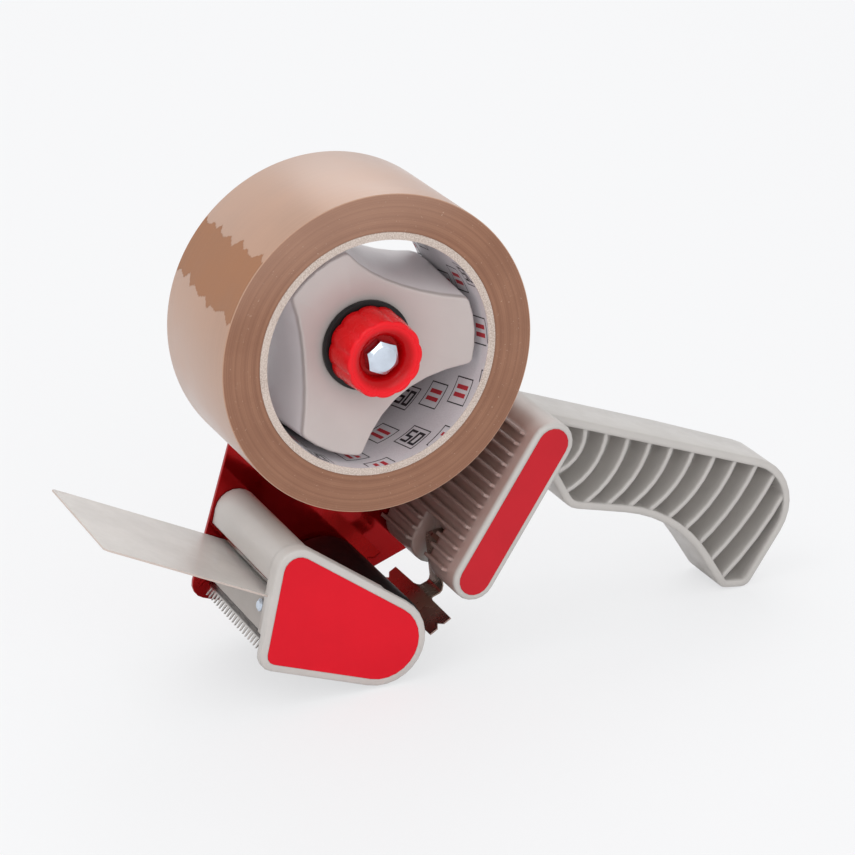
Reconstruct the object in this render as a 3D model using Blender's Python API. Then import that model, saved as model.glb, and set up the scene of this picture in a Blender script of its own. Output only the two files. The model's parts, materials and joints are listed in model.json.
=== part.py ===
"""Hand tape dispenser for 50 mm packing tape, as an assembly of its real pieces.

Everything is drawn about the axis of the tape roll: x towards the handle, y along the roll axis and away
from the covered side, z up. One empty then lifts the whole drawing until roller and handle tip stand on
z = 0. Sizes are in metres.
"""

import math

import bmesh
import bpy
from mathutils import Matrix, Vector

# Fits and fineness
GAP = 0.0003              # clearance between two pieces that rest on each other
ARC_ERROR = 0.0001       # how far a facet may leave its arc
OVERRUN = 0.002           # how far a cutter runs past the face that it cuts
MERGE = 0.000002          # points nearer than this are one point
SMOOTH_ANGLE = math.radians(32)

# Tape roll and its cardboard core
TAPE_DEPTH = 0.0125         # wound tape between the core and the roll's outside
ROLL_WIDTH = 0.050
ROLL_EDGE = 0.0003
CORE_BORE = 0.0381
CORE_WALL = 0.0025

# Side frame, a pressed plate beyond the roll
FRAME_CLEARANCE = 0.002
FRAME_THICKNESS = 0.0015
FRAME_HUB_RADIUS = 0.018
FRAME_HEEL_X = -0.0419
FRAME_HEEL_Z = -0.0926
FRAME_HEEL_RADIUS = 0.0055
FRAME_NOSE_RADIUS = 0.0135
FRAME_DIP_X = 0.0156
FRAME_DIP_Z = -0.1062
FRAME_DIP_RADIUS = 0.006
FRAME_MARGIN = 0.0008
FRAME_FOOT_X = 0.0332
FRAME_FOOT_Z = -0.0873
FRAME_FOOT_RADIUS = 0.0056

# Front housing: near cheek, cross bar, front wall with its shelf
CHEEK_REACH = 0.0040        # how far the cheek stands out beyond the roll
CHEEK_THICKNESS = 0.0025
CHEEK_DEPTH = 0.0052
CHEEK_WALL = 0.0022
CHEEK_EDGE = 0.0011
NOSE_X = -0.0024
NOSE_Z = -0.0986
NOSE_RADIUS = 0.0157
BAR_X = -0.0310
BAR_Z = -0.0676
BAR_RADIUS = 0.0079
TOE_X = -0.0394
TOE_Z = -0.0953
TOE_RADIUS = 0.006
BAR_WALL = 0.0022
BAR_REAR = math.radians(25)
BAR_LIP = 0.0050
BAR_RIB = 0.0015
BAR_RIB_SHARES = (-0.5, 0, 0.5)
BAR_BOSS_RADIUS = 0.0032
BAR_BOSS_LENGTH = 0.012
WALL_TOP_X = -0.0393
WALL_TOP_Z = -0.0767
WALL_LIP_X = -0.0428
WALL_LIP_Z = -0.0883
WALL_THICKNESS = 0.0016
SHELF_LENGTH = 0.0125
SHELF_BOSS_SHARE = 0.74
LABEL_INSET = 0.0030
LABEL_THICKNESS = 0.0006
LABEL_PROUD = 0.0001

# Cutting blade and its screws
BLADE_THICKNESS = 0.0007
BLADE_ABOVE = 0.0094
BLADE_BELOW = 0.0040
BLADE_SIDE_GAP = 0.0007
TOOTH_LENGTH = 0.0031
TOOTH_PITCH = 0.00236
TOOTH_ROOT_SHARE = 0.62
TOOTH_TIP_SHARE = 0.12
TOOTH_BEND = math.radians(22)
BLADE_SCREW_SHARE = 0.775   # distance between the screws as a share of the blade's width
BLADE_SCREW_RADIUS = 0.0011
BLADE_SCREW_HEAD = 0.0022
BLADE_SCREW_HEAD_HEIGHT = 0.0012
BLADE_SCREW_LENGTH = 0.0034
BLADE_SCREW_DROP = 0.0044
HEAD_TOP_SHARE = 0.62

# Wiper flap, its clamped root, clamp strip and rivets
FLAP_SLOPE = math.radians(26.65)
FLAP_LENGTH = 0.0622
FLAP_THICKNESS = 0.0006
FLAP_OVERHANG = 0.0010      # how far the flap stands out beyond the roll
FLAP_FAR_GAP = 0.0004
FLAP_ROOT_GAP = 0.0006
FLAP_CORNER = 0.0012
CLAMP_THICKNESS = 0.0010
CLAMP_LENGTH = 0.0095
CLAMP_SET_BACK = 0.0030
RIVET_RADIUS = 0.0013
RIVET_HEAD = 0.0026
RIVET_HEAD_HEIGHT = 0.0009
RIVET_SHARES = (-0.2, 0.2)

# Guide roller on its axle
ROLLER_RADIUS = 0.0163
ROLLER_EXTRA = 0.0014       # how much longer the roller is than the roll is wide
ROLLER_ROOM = 0.0021         # free space between the roller and the cheek's rim
SLEEVE_THICKNESS = 0.0020
SLEEVE_SET_BACK = 0.0006
ROLLER_RIM = 0.0022
ROLLER_DISH = 0.0055
ROLLER_BOSS_RADIUS = 0.0064
ROLLER_BOSS_SET_BACK = 0.0025
AXLE_RADIUS = 0.0030
AXLE_BOSS_RADIUS = 0.0052
AXLE_BOSS_LENGTH = 0.0026
AXLE_SOCKET = 0.0011

# Screws seen on the far side
SCREW_RADIUS = 0.0016
SCREW_HEAD = 0.0037
SCREW_HEAD_HEIGHT = 0.0022
SCREW_LENGTH = 0.011
SCREW_CROSS_WIDTH = 0.0008
SCREW_CROSS_DEPTH = 0.0009

# Handle strut, a leaning beam with a rounded end plate
STRUT_LEAN = math.radians(56.4)
STRUT_AWAY = 0.0715
STRUT_LOW = -0.0516
STRUT_LENGTH = 0.0513
STRUT_RADIUS = 0.0076
STRUT_EDGE = 0.0010
STRUT_WALL = 0.0025
STRUT_SOLID_FOOT = 0.0190
STRUT_LABEL_INSET = 0.0023
RIB_START = -0.0023
RIB_PITCH = 0.0040
RIB_THICKNESS = 0.0011
RIB_HEIGHT = 0.0021
RIB_SET_BACK = 0.0058
RIB_ROOT = 0.0008
HANDLE_SCREW_SHARES = (0.05, 0.52, 0.97)

# Handle grip, an open ribbed moulding with a middle web
GRIP_LENGTH = 0.1011
GRIP_DROP_SHARE = 0.74184   # drop of the grip as a share of its length
GRIP_WIDTH = 0.0240
GRIP_WALL = 0.0027
GRIP_WEB = 0.0030
GRIP_EDGE = 0.0007
GRIP_RIB = 0.0015
GRIP_RIB_SET_BACK = 0.0005
GRIP_RIB_PITCH_SHARE = 0.0890
GRIP_RIB_COUNT = 11
GRIP_RIB_FIRST_SHARE = 0.1731
GRIP_RIB_CORNER = 2       # the rib, counted from nought, that meets the lower wall at its corner
GRIP_RIB_LOW_SHARE = 0.98
GRIP_RIB_BOW_SHARE = 0.0415
GRIP_RIB_BOW_END_SHARE = 0.38
# x, z and signed radius of the circles that the grip's outline runs round, as shares of length, drop, length
GRIP_SHARES = (
    (0.1973, -0.3383, 0.0791),
    (0.2334, -1.1507, -0.4946),
    (0.7616, -0.9333, 0.0415),
    (0.8180, -0.9440, 0.0415),
    (0.8121, -0.6080, 0.1879),
    (0.0356, -0.0073, 0.0495),
)

# Anti-return spring, a stamped T hooked in the strut
SPRING_THICKNESS = 0.0005
SPRING_Y = -0.0021
SPRING_STEM_WIDTH = 0.0104
SPRING_TAIL_WIDTH = 0.0070
SPRING_BAR_SHORT = 0.0050   # how much shorter the bar is than the roll is wide
SPRING_BAR_NOTCH = 0.0026
SPRING_PIVOT_X = 0.0306
SPRING_PIVOT_Z = -0.0766
SPRING_TAIL = 0.0040
SPRING_STEM_X = 0.0279
SPRING_STEM_TOP_Z = -0.0796
SPRING_STEM_LOW_X = 0.0292
SPRING_STEM_LOW_Z = -0.0948
SPRING_NECK_X = 0.0243
SPRING_NECK_Z = -0.0970
SPRING_TIP_X = 0.0166
SPRING_TIP_Z = -0.1016
SPRING_BEND = 0.0012
NOTCH_WIDTH = 0.0145
NOTCH_BACK = 0.0042
NOTCH_TOP_Z = -0.0712
TAIL_SLOT_HEIGHT = 0.0022

# Hub, three lobes with a dished front
HUB_PLAY = 0.0003
HUB_LAND = 0.0090           # how deep the lobes hold the core
HUB_TAPER = 0.0024          # how much the lobes widen towards their far end
HUB_LOBE_HALF = math.radians(16.5)
HUB_PHASE = math.radians(2.8)
HUB_WAIST = 0.0220
HUB_CORNER = 0.0023
HUB_LOBES = 3
HUB_SET_BACK = 0.0022       # how far the lobes stay short of the roll's far side
HUB_DEPTH = 0.0362
HUB_FLAT = 0.0158
HUB_DISH_SLOPE = 0.42
HUB_EDGE = 0.0012
HUB_WALL = 0.0018
HUB_BOSS_RADIUS = 0.0096
HUB_BOSS_GAP = 0.0027
HUB_WEB = 0.0018

# Brake: knob, bolt, spring, washers, bushing, weld nut
WASHER_RADIUS = 0.0150
WASHER_THICKNESS = 0.0021
KNOB_LENGTH = 0.0137
KNOB_BACK_RADIUS = 0.0139
KNOB_FRONT_RADIUS = 0.0129
KNOB_SCALLOPS = 12
KNOB_PHASE = math.radians(15.7)
KNOB_STEPS = 6
KNOB_FLUTE_POWER = 0.6
KNOB_SCALLOP_DEPTH = 0.0007
KNOB_RIM = 0.0004
KNOB_EDGE = 0.0007
KNOB_SEAT_RADIUS = 0.0068
KNOB_SEAT_DEPTH = 0.0054
KNOB_BOWL_STEPS = 5
KNOB_SEAT_WALL = 0.0024
SPRING_POCKET_RADIUS = 0.0078
BOLT_RADIUS = 0.0030
BOLT_HEAD_FLATS = 0.0100
BOLT_TURN = math.radians(7)
BOLT_HEAD_HEIGHT = 0.0040
BOLT_CHAMFER = 0.0006
BOLT_POINT = 0.0012
COIL_RADIUS = 0.0056
COIL_WIRE = 0.0006
COIL_TURNS = 3
COIL_STEPS = 12
COIL_SIDES = 6
REAR_WASHER_RADIUS = 0.0110
BUSHING_RADIUS = 0.0056
NUT_FLATS = 0.0100
NUT_HEIGHT = 0.0050
NUT_FLANGE = 0.0072
NUT_FLANGE_HEIGHT = 0.0011

# Worked out from the values above
ROLL_RADIUS = CORE_BORE + CORE_WALL + TAPE_DEPTH
FRAME_NEAR_Y = ROLL_WIDTH / 2 + FRAME_CLEARANCE
FRAME_FAR_Y = FRAME_NEAR_Y + FRAME_THICKNESS
HOUSING_FAR_Y = FRAME_NEAR_Y - GAP
CHEEK_OUTER_Y = -ROLL_WIDTH / 2 - CHEEK_REACH
CHEEK_INNER_Y = CHEEK_OUTER_Y + CHEEK_THICKNESS
BLADE_WIDTH = -2 * (CHEEK_INNER_Y + BLADE_SIDE_GAP)
FLAP_NEAR_Y = -ROLL_WIDTH / 2 - FLAP_OVERHANG
FLAP_FAR_Y = FRAME_NEAR_Y - FLAP_FAR_GAP
FLAP_ROOT_NEAR_Y = CHEEK_OUTER_Y + CHEEK_DEPTH + FLAP_ROOT_GAP
ROLLER_LENGTH = ROLL_WIDTH + ROLLER_EXTRA
SPRING_BAR_WIDTH = ROLL_WIDTH - SPRING_BAR_SHORT
GRIP_DROP = GRIP_LENGTH * GRIP_DROP_SHARE
HUB_RADIUS = CORE_BORE - HUB_PLAY - HUB_TAPER
HUB_FAR_Y = ROLL_WIDTH / 2 - HUB_SET_BACK
HUB_FRONT_Y = HUB_FAR_Y - HUB_DEPTH
HUB_BOSS_FAR_Y = FRAME_NEAR_Y - HUB_BOSS_GAP
KNOB_BACK_Y = HUB_FRONT_Y - 2 * GAP - WASHER_THICKNESS
KNOB_FRONT_Y = KNOB_BACK_Y - KNOB_LENGTH
KNOB_SEAT_Y = KNOB_FRONT_Y + KNOB_SEAT_DEPTH
ROLL_HEIGHT = ROLLER_RADIUS - NOSE_Z
WALL_HEADING = math.atan2(WALL_LIP_Z - WALL_TOP_Z, WALL_LIP_X - WALL_TOP_X)
NUT_FAR_Y = FRAME_FAR_Y + GAP + NUT_HEIGHT
BOLT_FAR_Y = NUT_FAR_Y + BOLT_POINT


def finish_mesh(name, shape):
    """Turn a bmesh into a linked object with merged points and outward faces."""
    bmesh.ops.remove_doubles(shape, verts=shape.verts, dist=MERGE)
    bmesh.ops.dissolve_degenerate(shape, edges=shape.edges, dist=MERGE)
    bmesh.ops.recalc_face_normals(shape, faces=shape.faces)
    mesh = bpy.data.meshes.new(name)
    shape.to_mesh(mesh)
    shape.free()
    part = bpy.data.objects.new(name, mesh)
    bpy.context.scene.collection.objects.link(part)
    return part


def arc_steps(radius, turn):
    """How many facets an arc needs to stay within the allowed error."""
    if abs(radius) <= ARC_ERROR:
        return 1
    return max(1, math.ceil(abs(turn) / (2 * math.acos(1 - ARC_ERROR / abs(radius)))))


def tangent_headings(circles):
    """The heading of the straight run that leaves each circle of a belt."""
    headings = []
    for index, (x, z, radius) in enumerate(circles):
        next_x, next_z, next_radius = circles[(index + 1) % len(circles)]
        span = math.hypot(next_x - x, next_z - z)
        lean = math.asin(max(-1, min(1, (radius - next_radius) / span)))
        headings.append(math.atan2(next_z - z, next_x - x) + lean)
    return headings


def belt(circles, grow=0):
    """Closed outline running counter-clockwise round circles (x, z, radius) and along their tangents.

    A negative radius makes a hollow corner, and grow moves the whole outline outwards.
    """
    headings = tangent_headings(circles)
    plain, points = [], []
    for index, (x, z, radius) in enumerate(circles):
        start = headings[index - 1]
        turn = (headings[index] - start) % math.tau
        if radius < 0:
            turn -= math.tau
        steps = arc_steps(radius, turn)
        for step in range(steps + 1):
            heading = start + turn * step / steps
            here = (x + radius * math.sin(heading), z - radius * math.cos(heading))
            if not plain or math.dist(here, plain[-1]) > MERGE:
                plain.append(here)
                points.append((here[0] + grow * math.sin(heading), here[1] - grow * math.cos(heading)))
    if math.dist(plain[0], plain[-1]) < MERGE:
        points.pop()
    return points


def ribbon(path, thickness):
    """Closed outline of a strip: the path, and the same path moved to its right by the thickness."""
    moved = []
    for index, (x, z) in enumerate(path):
        before = path[max(index - 1, 0)]
        after = path[min(index + 1, len(path) - 1)]
        first = Vector((x - before[0], z - before[1]))
        second = Vector((after[0] - x, after[1] - z))
        first = first.normalized() if first.length else second.normalized()
        second = second.normalized() if second.length else first
        middle = (first + second).normalized()
        reach = thickness / max(middle.dot(first), 0.3)
        moved.append((x + middle.y * reach, z - middle.x * reach))
    return list(path) + moved[::-1]


def at_depth(outline, y):
    """The outline's points in space, at depth y."""
    return [Vector((x, y, z)) for x, z in outline]


def fill_ends(shape, loops):
    """Close loops of points with faces; loops inside others become holes."""
    edges = []
    for loop in loops:
        for index, point in enumerate(loop):
            after = loop[(index + 1) % len(loop)]
            edges.append(shape.edges.get((point, after)) or shape.edges.new((point, after)))
    bmesh.ops.triangle_fill(shape, use_beauty=True, use_dissolve=False, edges=edges)


def slab(name, outline, near_y, far_y, holes=()):
    """A plate of the outline's shape from near_y to far_y, with holes."""
    shape = bmesh.new()
    loops = [[shape.verts.new(point) for point in at_depth(ring, near_y)] for ring in (outline, *holes)]
    fill_ends(shape, loops)
    bmesh.ops.remove_doubles(shape, verts=shape.verts, dist=MERGE)
    grown = bmesh.ops.extrude_face_region(shape, geom=shape.faces[:])
    moved = [item for item in grown["geom"] if isinstance(item, bmesh.types.BMVert)]
    bmesh.ops.translate(shape, verts=moved, vec=(0, far_y - near_y, 0))
    return finish_mesh(name, shape)


def loft(name, rings, closed=False):
    """A skin over rings of equally many points, closed at both ends or back onto its first ring."""
    shape = bmesh.new()
    loops = [[shape.verts.new(point) for point in ring] for ring in rings]
    following = loops[1:] + loops[:1] if closed else loops[1:]
    for near, far in zip(loops, following):
        for index in range(len(near)):
            after = (index + 1) % len(near)
            shape.faces.new((near[index], near[after], far[after], far[index]))
    if not closed:
        fill_ends(shape, [loops[0]])
        fill_ends(shape, [loops[-1]])
    return finish_mesh(name, shape)


def moulded(name, circles, near_y, far_y, near_edge=0, far_edge=0):
    """A plate whose outline is a belt and whose rims are rounded."""
    rings = []
    for edge, y, inwards in ((near_edge, near_y, 1), (far_edge, far_y, -1)):
        rounding = []
        quarter_steps = arc_steps(edge, math.pi / 2) if edge else 0
        for step in range(quarter_steps + 1):
            angle = math.pi / 2 * (step / quarter_steps if quarter_steps else 1)
            inset = edge * (1 - math.sin(angle))
            depth = y + inwards * edge * (1 - math.cos(angle))
            rounding.append(at_depth(belt(circles, -inset), depth))
        rings += rounding if inwards > 0 else rounding[::-1]
    return loft(name, rings)


def turned(name, profile, x=0, z=0, steps=None):
    """A solid turned about the line through (x, z) along y, from a profile of (radius, y)."""
    shape = bmesh.new()
    points = [shape.verts.new((x + radius, y, z)) for radius, y in profile]
    edges = [shape.edges.new(pair) for pair in zip(points, points[1:])]
    if profile[0][0] > 0:
        edges.append(shape.edges.new((points[-1], points[0])))
    steps = steps or arc_steps(max(radius for radius, _ in profile), math.tau)
    bmesh.ops.spin(shape, geom=points + edges, cent=(x, 0, z), axis=(0, 1, 0), angle=math.tau,
                   steps=steps, use_merge=True)
    return finish_mesh(name, shape)


def pin(name, radius, near_y, far_y, x=0, z=0):
    """A plain cylinder along y."""
    return turned(name, ((0, near_y), (radius, near_y), (radius, far_y), (0, far_y)), x, z)


def tube(name, inner, outer, near_y, far_y, x=0, z=0):
    """A plain tube along y."""
    return turned(name, ((inner, near_y), (outer, near_y), (outer, far_y), (inner, far_y)), x, z)


def combine(target, tool, operation):
    """Change the target by the tool with a Boolean, and remove the tool."""
    modifier = target.modifiers.new("combine", "BOOLEAN")
    modifier.solver = "EXACT"
    modifier.operation = operation
    modifier.object = tool
    evaluated = target.evaluated_get(bpy.context.evaluated_depsgraph_get())
    result = bpy.data.meshes.new_from_object(evaluated)
    shape = bmesh.new()
    shape.from_mesh(result)
    bmesh.ops.remove_doubles(shape, verts=shape.verts, dist=MERGE)
    bmesh.ops.dissolve_degenerate(shape, edges=shape.edges, dist=MERGE)
    bmesh.ops.holes_fill(shape, edges=[edge for edge in shape.edges if edge.is_boundary], sides=0)
    shape.to_mesh(result)
    shape.free()
    target.modifiers.clear()
    old = target.data
    target.data = result
    bpy.data.meshes.remove(old)
    bpy.data.objects.remove(tool)
    return target


def cut(target, *tools):
    """Take the tools away from the target."""
    for tool in tools:
        combine(target, tool, "DIFFERENCE")
    return target


def weld(target, *tools):
    """Join the tools onto the target as one solid."""
    for tool in tools:
        combine(target, tool, "UNION")
    return target


def group(name, parts):
    """One object that holds several separate solids."""
    shape = bmesh.new()
    for part in parts:
        shape.from_mesh(part.data)
        bpy.data.objects.remove(part)
    return finish_mesh(name, shape)


def named(parts, *names):
    """Name several finished pieces."""
    for part, name in zip(parts, names):
        part.name = name
    return parts


def strut_point(along, away):
    """A place on the strut: along its lean, and away from the roll axis."""
    return (along * math.cos(STRUT_LEAN) + away * math.sin(STRUT_LEAN),
            along * math.sin(STRUT_LEAN) - away * math.cos(STRUT_LEAN))


def strut_circles(radius, low=STRUT_LOW, high=STRUT_LOW + STRUT_LENGTH):
    """The two circles of a rounded bar along the strut."""
    return [(*strut_point(low, STRUT_AWAY), radius), (*strut_point(high, STRUT_AWAY), radius)]


def cheek_circles(shift=0):
    """The three circles of the cheek's outline."""
    return [(TOE_X, TOE_Z, TOE_RADIUS + shift), (NOSE_X, NOSE_Z, NOSE_RADIUS + shift),
            (BAR_X, BAR_Z, BAR_RADIUS + shift)]


def housing_screw_places():
    """Where the two screws reach the housing's far end: in the bar, and under the shelf."""
    along = SHELF_LENGTH * SHELF_BOSS_SHARE
    below = WALL_THICKNESS / 2 + BAR_BOSS_RADIUS
    shelf = (WALL_TOP_X + along * math.cos(FLAP_SLOPE) - below * math.sin(FLAP_SLOPE),
             WALL_TOP_Z - along * math.sin(FLAP_SLOPE) - below * math.cos(FLAP_SLOPE))
    return [(BAR_X, BAR_Z), shelf]


def handle_screw_places():
    """Where the handle's screws enter its strut."""
    return [strut_point(STRUT_LOW + STRUT_LENGTH * share, STRUT_AWAY) for share in HANDLE_SCREW_SHARES]


def make_tape_roll():
    inner = CORE_BORE + CORE_WALL + GAP
    half = ROLL_WIDTH / 2
    profile = ((inner, -half), (ROLL_RADIUS - ROLL_EDGE, -half), (ROLL_RADIUS, -half + ROLL_EDGE),
               (ROLL_RADIUS, half - ROLL_EDGE), (ROLL_RADIUS - ROLL_EDGE, half), (inner, half))
    return turned("tape_roll", profile)


def make_cardboard_core():
    half = ROLL_WIDTH / 2
    return tube("cardboard_core", CORE_BORE, CORE_BORE + CORE_WALL, -half, half)


def frame_circles():
    low_x, low_z = strut_point(STRUT_LOW + STRUT_LENGTH, STRUT_AWAY)
    return [(FRAME_HEEL_X, FRAME_HEEL_Z, FRAME_HEEL_RADIUS), (NOSE_X, NOSE_Z, FRAME_NOSE_RADIUS),
            (FRAME_DIP_X, FRAME_DIP_Z, -FRAME_DIP_RADIUS), (FRAME_FOOT_X, FRAME_FOOT_Z, FRAME_FOOT_RADIUS),
            (low_x, low_z, STRUT_RADIUS - FRAME_MARGIN), (0, 0, FRAME_HUB_RADIUS)]


def make_side_frame():
    """Pressed steel plate with the holes for its fasteners."""
    holes = [(0, 0, BOLT_RADIUS), (NOSE_X, NOSE_Z, SCREW_RADIUS)]
    holes += [(x, z, SCREW_RADIUS) for x, z in housing_screw_places() + handle_screw_places()]
    rings = []
    for x, z, radius in holes:
        steps = arc_steps(radius + GAP, math.tau)
        reach = radius + GAP
        angles = [math.tau * step / steps for step in range(steps)]
        rings.append([(x + reach * math.cos(angle), z + reach * math.sin(angle)) for angle in angles])
    return slab("side_frame", belt(frame_circles()), FRAME_NEAR_Y, FRAME_FAR_Y, rings)


def bar_path():
    """Outer side of the cross bar's hood, from its rear end over the top to its front lip."""
    span = math.hypot(BAR_X - TOE_X, BAR_Z - TOE_Z)
    heading = math.atan2(TOE_Z - BAR_Z, TOE_X - BAR_X) + math.asin((BAR_RADIUS - TOE_RADIUS) / span)
    front = heading + math.pi * 3 / 2
    radius = BAR_RADIUS - GAP
    steps = arc_steps(radius, front - BAR_REAR)
    angles = [BAR_REAR + (front - BAR_REAR) * step / steps for step in range(steps + 1)]
    arc = [(BAR_X + radius * math.cos(angle), BAR_Z + radius * math.sin(angle)) for angle in angles]
    end = (arc[-1][0] + BAR_LIP * math.cos(heading), arc[-1][1] + BAR_LIP * math.sin(heading))
    return arc + [end]


def wall_path():
    """Front side of the wall, from its lip up to the corner, and then the top of the shelf."""
    shelf_end = (WALL_TOP_X + SHELF_LENGTH * math.cos(FLAP_SLOPE),
                 WALL_TOP_Z - SHELF_LENGTH * math.sin(FLAP_SLOPE))
    return [(WALL_LIP_X, WALL_LIP_Z), (WALL_TOP_X, WALL_TOP_Z), shelf_end]


def blade_room():
    """Outline of the space that the cheek's rim leaves free for the blade."""
    length = math.hypot(WALL_LIP_X - WALL_TOP_X, WALL_LIP_Z - WALL_TOP_Z)
    top = length - BLADE_ABOVE - GAP
    low = length + BLADE_BELOW + TOOTH_LENGTH + GAP
    front = -TOOTH_LENGTH
    back = WALL_THICKNESS + BLADE_THICKNESS + 2 * GAP
    return [wall_place(down, behind) for down, behind in (
        (top, WALL_THICKNESS), (length, WALL_THICKNESS), (length, front), (low, front), (low, back),
        (top, back))]


def make_front_housing():
    """Grey moulding that holds roller, blade and flap."""
    rim_y = CHEEK_OUTER_Y + CHEEK_DEPTH
    inset_y = CHEEK_OUTER_Y + LABEL_THICKNESS + GAP - LABEL_PROUD
    housing = moulded("front_housing", cheek_circles(), CHEEK_OUTER_Y, rim_y, near_edge=CHEEK_EDGE)
    cut(housing,
        moulded("tray", cheek_circles(-CHEEK_WALL), CHEEK_INNER_Y, rim_y + OVERRUN),
        pin("roller_room", ROLLER_RADIUS + ROLLER_ROOM, CHEEK_INNER_Y - GAP, rim_y + OVERRUN, NOSE_X, NOSE_Z),
        moulded("label_seat", cheek_circles(GAP - LABEL_INSET), CHEEK_OUTER_Y - OVERRUN, inset_y))
    root_y = CHEEK_INNER_Y - CHEEK_THICKNESS / 2
    weld(housing,
         slab("hood", ribbon(bar_path()[::-1], BAR_WALL), root_y, HOUSING_FAR_Y),
         slab("wall", ribbon(wall_path(), WALL_THICKNESS), root_y, HOUSING_FAR_Y))
    disc = BAR_RADIUS - BAR_WALL / 2
    middles = [HOUSING_FAR_Y * share for share in BAR_RIB_SHARES]
    stops = [(middle - BAR_RIB / 2, middle + BAR_RIB / 2) for middle in middles]
    for near_y, far_y in stops + [(HOUSING_FAR_Y - BAR_WALL, HOUSING_FAR_Y - GAP)]:
        weld(housing, pin("stiffener", disc, near_y, far_y, BAR_X, BAR_Z))
    cut(housing, slab("blade_room", blade_room(), CHEEK_INNER_Y, rim_y + OVERRUN))
    for x, z in housing_screw_places():
        weld(housing, pin("boss", BAR_BOSS_RADIUS, HOUSING_FAR_Y - BAR_BOSS_LENGTH, HOUSING_FAR_Y, x, z))
    boss_y = CHEEK_INNER_Y + AXLE_BOSS_LENGTH
    weld(housing, pin("axle_boss", AXLE_BOSS_RADIUS, root_y, boss_y, NOSE_X, NOSE_Z))
    for x, z in housing_screw_places():
        cut(housing, pin("screw_hole", SCREW_RADIUS + GAP, HOUSING_FAR_Y - SCREW_LENGTH,
                         HOUSING_FAR_Y + OVERRUN, x, z))
    socket_y = CHEEK_INNER_Y - AXLE_SOCKET
    cut(housing, pin("socket", AXLE_RADIUS + GAP, socket_y, boss_y + OVERRUN, NOSE_X, NOSE_Z))
    for tool in blade_screw_solids(GAP, through=True):
        cut(housing, tool)
    for tool in rivet_solids(GAP, through=True):
        cut(housing, tool)
    return housing


def make_front_label():
    back_y = CHEEK_OUTER_Y + LABEL_THICKNESS - LABEL_PROUD
    return slab("front_label", belt(cheek_circles(-LABEL_INSET)), CHEEK_OUTER_Y - LABEL_PROUD, back_y)


def wall_place(down, behind):
    """A place by the front wall: down from its top corner, and behind its front face."""
    return (WALL_TOP_X + down * math.cos(WALL_HEADING) - behind * math.sin(WALL_HEADING),
            WALL_TOP_Z + down * math.sin(WALL_HEADING) + behind * math.cos(WALL_HEADING))


def leaning_pin(name, radius, y, place, start, end, head=None):
    """A round pin through the front wall at y, from start to end behind its front face, with a head."""
    profile = [(0, start), (radius, start), (radius, end), (0, end)]
    if head:
        head_radius, head_height = head
        profile = [(0, start - head_height), (head_radius * HEAD_TOP_SHARE, start - head_height),
                   (head_radius, start - head_height / 2), (head_radius, start)] + profile[1:]
    solid = turned(name, profile)
    across = Vector((-math.sin(WALL_HEADING), 0, math.cos(WALL_HEADING)))
    turn = Vector((0, 1, 0)).rotation_difference(across).to_matrix().to_4x4()
    solid.data.transform(turn)
    solid.data.transform(turn.Translation(Vector((place[0], y, place[1]))))
    return solid


def blade_screw_solids(clearance=0, through=False):
    """The two blade screws, or with a clearance the holes for them."""
    place = wall_place(BLADE_SCREW_DROP, 0)
    solids = []
    for side in (-1, 1):
        y = side * BLADE_WIDTH * BLADE_SCREW_SHARE / 2
        if through:
            solids.append(leaning_pin("hole", BLADE_SCREW_RADIUS + clearance, y, place, -OVERRUN,
                                      BLADE_SCREW_LENGTH + OVERRUN))
        else:
            head = (BLADE_SCREW_HEAD, BLADE_SCREW_HEAD_HEIGHT)
            solids.append(leaning_pin("screw", BLADE_SCREW_RADIUS, y, place, -GAP, BLADE_SCREW_LENGTH, head))
    return solids


def make_blade_screws():
    return named(blade_screw_solids(), "blade_screw_near", "blade_screw_far")


def make_cutting_blade():
    """Toothed strip behind the front wall; the comb is drawn flat and its teeth are bent forwards."""
    length = math.hypot(WALL_LIP_X - WALL_TOP_X, WALL_LIP_Z - WALL_TOP_Z)
    top = length - BLADE_ABOVE
    root = length + BLADE_BELOW
    count = int(BLADE_WIDTH / TOOTH_PITCH)
    half = count * TOOTH_PITCH / 2
    comb = [(BLADE_WIDTH / 2, top), (-BLADE_WIDTH / 2, top), (-BLADE_WIDTH / 2, root)]
    for index in range(count):
        middle = -half + (index + 1 / 2) * TOOTH_PITCH
        for share, down in ((-TOOTH_ROOT_SHARE, 0), (-TOOTH_TIP_SHARE, TOOTH_LENGTH),
                            (TOOTH_TIP_SHARE, TOOTH_LENGTH), (TOOTH_ROOT_SHARE, 0)):
            comb.append((middle + share * TOOTH_PITCH / 2, root + down))
    comb.append((BLADE_WIDTH / 2, root))
    behind = WALL_THICKNESS + GAP
    shape = bmesh.new()
    loop = [shape.verts.new((y, 0, down)) for y, down in comb]
    fill_ends(shape, [loop])
    grown = bmesh.ops.extrude_face_region(shape, geom=shape.faces[:])
    moved = [item for item in grown["geom"] if isinstance(item, bmesh.types.BMVert)]
    bmesh.ops.translate(shape, verts=moved, vec=(0, BLADE_THICKNESS, 0))
    for point in shape.verts:
        y, depth, down = point.co
        beyond = max(down - root, 0)
        x, z = wall_place(min(down, root) + beyond * math.cos(TOOTH_BEND),
                          behind + depth - beyond * math.sin(TOOTH_BEND))
        point.co = (x, y, z)
    blade = finish_mesh("cutting_blade", shape)
    for tool in blade_screw_solids(GAP, through=True):
        cut(blade, tool)
    return blade


def flap_place(along, above):
    """A place by the flap: along it from the wall's top corner towards its free edge, and above the shelf."""
    return (WALL_TOP_X - along * math.cos(FLAP_SLOPE) + above * math.sin(FLAP_SLOPE),
            WALL_TOP_Z + along * math.sin(FLAP_SLOPE) + above * math.cos(FLAP_SLOPE))


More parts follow.
